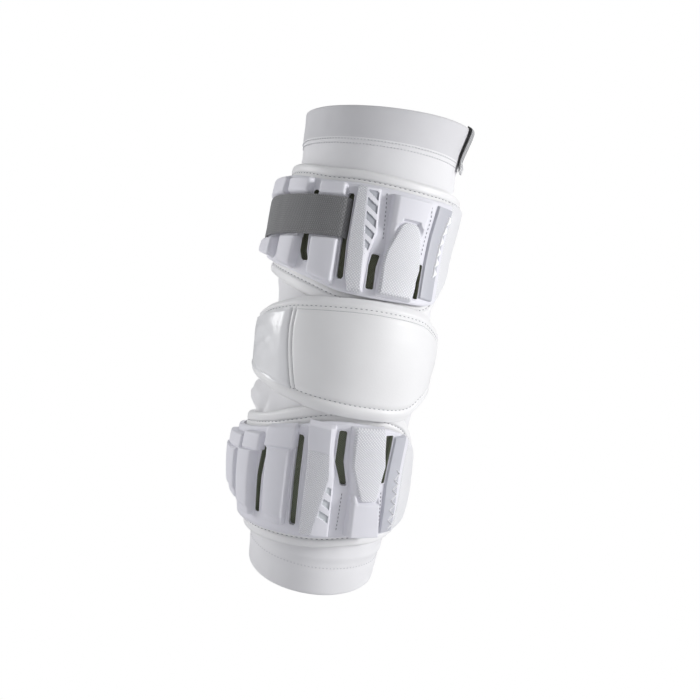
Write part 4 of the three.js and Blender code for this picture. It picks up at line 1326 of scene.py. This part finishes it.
def wrap_face(column, s):
    """Height of the wrap's outer face over the sleeve: its swell, sewn edges, seams and creases."""
    low, top = wrap_edges(column)
    from_top, from_low = top - s, s - low
    profile = np.interp(ramp(from_low / (top - low)), *wrap_profile)
    plump = wrap_thickness * read(wrap_outline[:, [0, 3]], column) * profile
    front = ramp((column + 128) / 16) * ramp((118 - column) / 16)
    sewn = 0.9 * bead(from_top - top_channel, 0.75) + bead(from_low - low_channel, 0.8)
    rolled = 0.5 * swell((from_top - 2.7) / 2.7) + 0.6 * swell((from_low - 3.8) / 3.8)
    inner = (from_top > panel_line - 1) & (from_low > low_channel)
    line = 0.5 * bead(from_top - panel_line, 0.4) * ramp((column + 110) / 8)
    seam = 0.75 * bead(column - seam_turn, 0.75) + 0.35 * bead(column - seam_turn + seam_pair, 0.7)
    full = 0.9 * swell((from_low - low_channel - 22) / 24) * swell((column - 18) / 75)
    across = s + 0.55 * column
    waves = 0.5 * np.sin(across / 3.4 + 0.8 * np.sin(column / 9)) + 0.25 * np.sin(across / 1.7 + 2)
    creases = swell((column + 72) / 46) * waves * 0.45
    place = on_arm(wrap_turn(column, s), s, wrap_thickness)
    soft = 0.5 * ripple(place, 0.045, 6) + 0.16 * ripple(place, 0.014, 7)
    relief = rolled - sewn - line + full + (creases - seam) * inner
    face = plump + front * relief + soft * front
    return np.maximum(face, wrap_base(column, s) + wrap_edge - 0.6 * front * sewn)


def on_wrap(column, s, over):
    """Points over the wrap's outer face, in metres."""
    return on_arm(wrap_turn(column, s), s, wrap_face(column, s) + over)


# The columns stand closer at both lines of the double seam, and the rows at the rolled edges
seam_steps = np.array([0.25, 0.5, 0.8, 1.15])
columns = np.concatenate([
    np.arange(-180, -36.9, 1.7),
    seam_turn - seam_pair + np.concatenate([-seam_steps[:2], [0], seam_steps[:2]]),
    seam_turn + np.concatenate([-seam_steps[::-1], [0], seam_steps]),
    np.arange(-31, 179, 1.7),
])
columns = np.unique(np.round(columns, 2))
low, top = (edge[:, None] for edge in wrap_edges(columns))
edge_steps = np.array([0, 0.25, 0.7, 1.4, 2.3, 3.3, 4.2, 4.8, 5.4, 6.0, 6.6, 7.1, 7.5, 7.9, 8.6])
shares = np.linspace(0, 1, 28)[None, 1:-1]
wrap_s = np.concatenate([
    low + edge_steps, (low + 9) * (1 - shares) + (top - 9) * shares, top - edge_steps[::-1],
], axis=1)
wrap_columns = np.broadcast_to(columns[:, None], wrap_s.shape)
turn = wrap_turn(wrap_columns, wrap_s)
base, face = wrap_base(wrap_columns, wrap_s), wrap_face(wrap_columns, wrap_s)
full_here = 0.25 + 0.75 * round_over(np.minimum(wrap_s - low, top - wrap_s) / 2.4)
middle, half = (face + base) / 2, (face - base) / 2 * full_here
wrap = skin_piece(
    "padded_elbow_wrap",
    on_arm(turn, wrap_s, middle + half),
    on_arm(turn, wrap_s, middle - half),
    girth_at(turn),
    wrap_s,
    leather_look,
    ring=True,
    sharp=60,
)
settle(wrap, "white_border", "elbow_wrap")

wrap_lines = []
for edge, inward in ((1, -top_channel), (0, low_channel)):
    def row(column):
        return on_wrap(column, wrap_edges(column)[edge] + inward, 0.12)
    wrap_lines.append(row(evenly(row, -100, 100, 3.5)))
wrap_stitches = stitched("wrap_stitches", wrap_lines, grey_thread)
settle(wrap_stitches, "white_border")


def seam_line(column, over):
    low, top = wrap_edges(np.array([column]))
    s = np.linspace(low[0] + low_channel + 0.3, top[0] - panel_line - 0.2, 60)
    return on_wrap(np.full_like(s, column), s, over)


def edge_line(start, end, over):
    column = np.linspace(start, end, 160)
    return on_wrap(column, wrap_edges(column)[1] - panel_line, over)


# Thin dark rods sunk in both seam grooves and along the panel line are painted shade in those creases
seam_shadow_lines = [
    seam_line(seam_turn, -0.05),
    seam_line(seam_turn - seam_pair, -0.12),
    edge_line(seam_turn, 82, -0.08),
]
seam_shade = look_of("seam_shade", (0.36, 0.36, 0.38), 0.8)[0]
wrap_seam_shadows = rod("wrap_seam_shadows", seam_shadow_lines, 0.2, seam_shade, closed=False, sides=5)
settle(wrap_seam_shadows, "white_border")

# Wrap: end patch
# A smooth glossy film is welded over the wrap's left end, with a round outer end and a fine raised rim.
film_start, film_end = -36.4, -112
film_rise = 0.9
film_look, tree, shader, bump = look_of("glossy_film", (0.78, 0.78, 0.795), 0.3, coat=0.22, tone=0.04)
shader.inputs["Coat Roughness"].default_value = 0.1
cloud = place_group(tree, uneven_tone, Size=0.006)
raised_by(cloud.outputs["Cloud"], bump, 0.3, 0.0004)


def film_reach(column):
    """Half the film's height at a column, as a share of the wrap's."""
    return 0.14 + 0.245 * round_over((column - film_end) / 24)


film_columns = np.concatenate([
    film_end + np.array([0, 0.3, 0.8, 1.5, 2.4]), np.arange(-108.5, film_start - 1, 1.2),
    film_start - np.array([0.7, 0.3, 0]),
])
rim_steps = np.array([0, 0.012, 0.035, 0.07, 0.11])
across = np.concatenate([rim_steps - 1, np.linspace(-0.85, 0.85, 36), 1 - rim_steps[::-1]])
low, top = (edge[:, None] for edge in wrap_edges(film_columns))
film_s = low + (top - low) * (0.5 + across * film_reach(film_columns)[:, None])
film_grid = np.broadcast_to(film_columns[:, None], film_s.shape)
ends = np.minimum((film_grid - film_end) / 1.6, (film_start - film_grid) / 6)
side = np.minimum((1 - np.abs(across)) / 0.08, ends)
film_bead = 0.35 * swell(side - 1.3)
slanted = film_s * 0.9 - (film_grid + 75) * 0.75
creased = 0.3 * np.sin(slanted / 2.6 + np.sin(film_s / 7))
creased = creased * swell((film_grid + 66) / 30) * swell(film_s / 24)
film = skin_piece(
    "glossy_end_patch",
    on_wrap(film_grid, film_s, 0.15 + film_rise * round_over(side) + film_bead + creased),
    on_wrap(film_grid, film_s, 0.02),
    girth_at(film_grid),
    film_s,
    film_look,
)
settle(film, "clear_film", "wrap_end_patch")

# Biceps strap
# A flat grey webbing comes up through the second slot of the upper shell, lies in the ribs' channels and
# goes round the back of the arm to the cap's right edge, where it is sewn down.
strap_thickness = 1.8
webbing_grey = (0.215, 0.215, 0.22)
mouth = -15.1
on_ribs = rib_base + channel_floor + seat_gap
# Degrees round the arm and height over the sleeve of the strap's underside
strap_route = np.array([
    (mouth, shell_base + 0.3), (mouth - 0.3, shell_top + 0.3), (mouth - 1.6, on_ribs - 0.3), (-19, on_ribs),
    (-36, on_ribs), (-39, on_ribs - 0.3), (-42, on_ribs), (-58, on_ribs), (-62, on_ribs - 0.4),
    (-66, on_ribs), (-101, on_ribs), (-106, shell_top + 0.65), (-110, pad_top + 1.3),
    (-116, pad_top + 0.85), (-120, 2.9), (-125, seat_gap + 0.2), (-259, seat_gap + 0.2),
])


def weave_group():
    """Plain weave of thick yarns on the UV map: yarns across pass over and under yarns along."""
    group, given, out = group_of(
        "webbing_weave",
        [("Cloth", "NodeSocketVector", None), ("Yarn across", "NodeSocketFloat", 1.5),
         ("Yarn along", "NodeSocketFloat", 1.4)],
        [("Height", "NodeSocketFloat")],
    )
    split = group.nodes.new("ShaderNodeSeparateXYZ")
    group.links.new(given.outputs["Cloth"], split.inputs[0])
    u = maths(group, "DIVIDE", split.outputs[0], given.outputs["Yarn across"])
    v = maths(group, "DIVIDE", split.outputs[1], given.outputs["Yarn along"])
    shifted = maths(group, "ADD", u, maths(group, "MULTIPLY", maths(group, "FLOOR", v), 0.5))
    rib = maths(group, "ADD", maths(group, "MULTIPLY", ridges(group, v), 0.45), 0.55)
    both = maths(group, "MULTIPLY", ridges(group, shifted), rib)
    group.links.new(both, out.inputs["Height"])
    return group


webbing_weave = weave_group()


def webbing_look_of(name, colour, light):
    """Woven yarns, light times their colour on top and darker between them."""
    look, tree, shader, bump = look_of(name, colour, 0.75, sheen=0.3)
    weave = cloth_group(tree, webbing_weave).outputs["Height"]
    raised_by(weave, bump, 0.8, 0.0004)
    two_tones(tree, shader, weave, [c * 0.55 for c in colour], [c * light for c in colour], uneven=False)
    return look


def ribbon(name, inner, thickness, look, rows):
    """A flat woven band on a grid of points of its inner face, in metres. rows are places over its width."""
    out = np.cross(np.gradient(inner, axis=1), np.gradient(inner, axis=0))
    out /= np.linalg.norm(out, axis=2, keepdims=True)
    away = inner * (1, 1, 0)
    away[..., 1] -= away[..., 1].mean()
    out *= np.where((out * away).sum(-1).mean() < 0, -1, 1)
    selvedge = np.sqrt(ramp(1 - np.abs(rows / rows[-1]) ** 14))[None, :, None]
    steps = np.linalg.norm(np.diff(inner[:, inner.shape[1] // 2], axis=0), axis=1)
    length = np.concatenate([[0], np.cumsum(steps)]) / mm
    lift = thickness * mm * (1 - selvedge) / 2
    return skin_piece(name, inner + out * (thickness * mm - lift), inner + out * lift, length[:, None],
                      rows[None, :] + rows[-1], look, sharp=60)


webbing_look = webbing_look_of("grey_webbing", webbing_grey, 1.15)
edge_rows = np.array([12.8, 13.4, 13.85, 14])
strap_rows = np.concatenate([-edge_rows[::-1], np.linspace(-11.5, 11.5, 16), edge_rows])
strap_deg = np.concatenate([
    np.linspace(mouth, -19, 14)[:-1], np.arange(-19, -126, -0.9), np.arange(-126, -259.1, -1.6),
])
route_lie = np.interp(-strap_deg, -strap_route[:, 0], strap_route[:, 1])
lie = np.convolve(np.pad(route_lie, 2, mode="edge"), np.ones(5) / 5, "valid")
lie[:3] = route_lie[:3]
deg, rows = np.meshgrid(strap_deg, strap_rows, indexing="ij")
wave = 0.12 * np.sin(np.radians(deg) * 9)
strap_face = on_arm(deg, strap_place + rows, lie[:, None] + wave)
strap = ribbon("grey_biceps_strap", strap_face, strap_thickness, webbing_look, strap_rows)
settle(strap, "grey_webbing", "bicep_strap")

# The sewn box with its cross, as turns in degrees and places over the strap's width
box_from, box_to, box_half = -257, -247, 12
first, second = (box_from, -box_half), (box_from, box_half)
third, fourth = (box_to, box_half), (box_to, -box_half)
box = np.array([first, second, third, fourth, first, third, fourth, second], float)
box_line = []
for here, there in zip(box, box[1:]):
    box_line += [here + (there - here) * t for t in np.linspace(0, 1, 8, endpoint=False)]
box_turn, box_row = np.array(box_line).T
strap_end = on_arm(box_turn, strap_place + box_row, seat_gap + strap_thickness + 0.3)
dark_thread = thread_look("dark_thread", (0.06, 0.06, 0.065))
strap_stitches = stitched("strap_box_stitches", [strap_end], dark_thread, radius=0.25, share=0.75)
settle(strap_stitches, "grey_webbing")

# Pull tab
# A loop of webbing, light grey outside and black inside, is sewn to the top hem on the right. Its lower end
# is folded on itself and held by a bar of dense stitches.
tab_length = 30
tab_width = 12
tab_turn = 82
tab_top = upper_length + 0.6
tab_seat = hem_fold + layer_gap
black_share = 0.87
fold_share = 0.8
black_thickness, grey_thickness, fold_thickness = 1.15, 0.6, 1.2
# How far the tab stands off the hem: shares of its length, and heights
tab_out = [(0, 0.5), (0.1, 1), (0.3, 1), (0.55, 0.7), (0.75, 0.1), (0.82, 0), (1, 0)]
black_look = webbing_look_of("black_webbing", (0.012, 0.012, 0.013), 1.6)
edge_look = webbing_look_of("grey_edge_webbing", (0.42, 0.42, 0.43), 1.1)
pale_look = webbing_look_of("pale_fold_webbing", (0.7, 0.7, 0.71), 1.1)
half_turn = math.degrees(tab_width / elbow_width)
tab_edge = np.array([0.9, 0.97, 1])
tab_rows = np.concatenate([-tab_edge[::-1], np.linspace(-0.8, 0.8, 9), tab_edge])


def tab_layer(name, run, lie, thickness, look):
    """A piece of the tab over shares of its length, at heights over the sleeve."""
    face = on_arm(tab_turn + half_turn * tab_rows, tab_top - run[:, None] * tab_length, lie[:, None])
    return ribbon(name, face, thickness, look, tab_rows)


# The black layer ends inside the fold, and the grey one runs the whole length.
run = np.linspace(0, 1, 44)
lie = tab_seat + 0.9 * read(tab_out, run) - 2.2 * ramp(1 - run / 0.05) ** 2
inner = run < black_share
inner_tab = tab_layer("tab_inner_webbing", run[inner], lie[inner], black_thickness, black_look)
settle(inner_tab, "black_webbing", "pull_tab")
outer_tab = tab_layer("tab_outer_webbing", run, lie + 1.2, grey_thickness, edge_look)
settle(outer_tab, "black_webbing")
run = np.linspace(fold_share, 1, 10)
fold_lie = tab_seat + 1.5 + 0.33 * np.sqrt(ramp(1 - ((run - 0.9) / 0.1) ** 2))
fold = tab_layer("tab_folded_end", run, fold_lie, fold_thickness, pale_look)
settle(fold, "black_webbing")
bar_rows = np.linspace(-0.85, 0.85, 15)
bar_s = tab_top - tab_length * (0.86 + 0.04 * (np.arange(15) % 2))
bar = on_arm(tab_turn + half_turn * bar_rows, bar_s, tab_seat + 3.1)
tab_stitches = stitched("tab_bar_stitches", [bar], white_thread, radius=0.3, share=0.95)
settle(tab_stitches, "black_webbing")
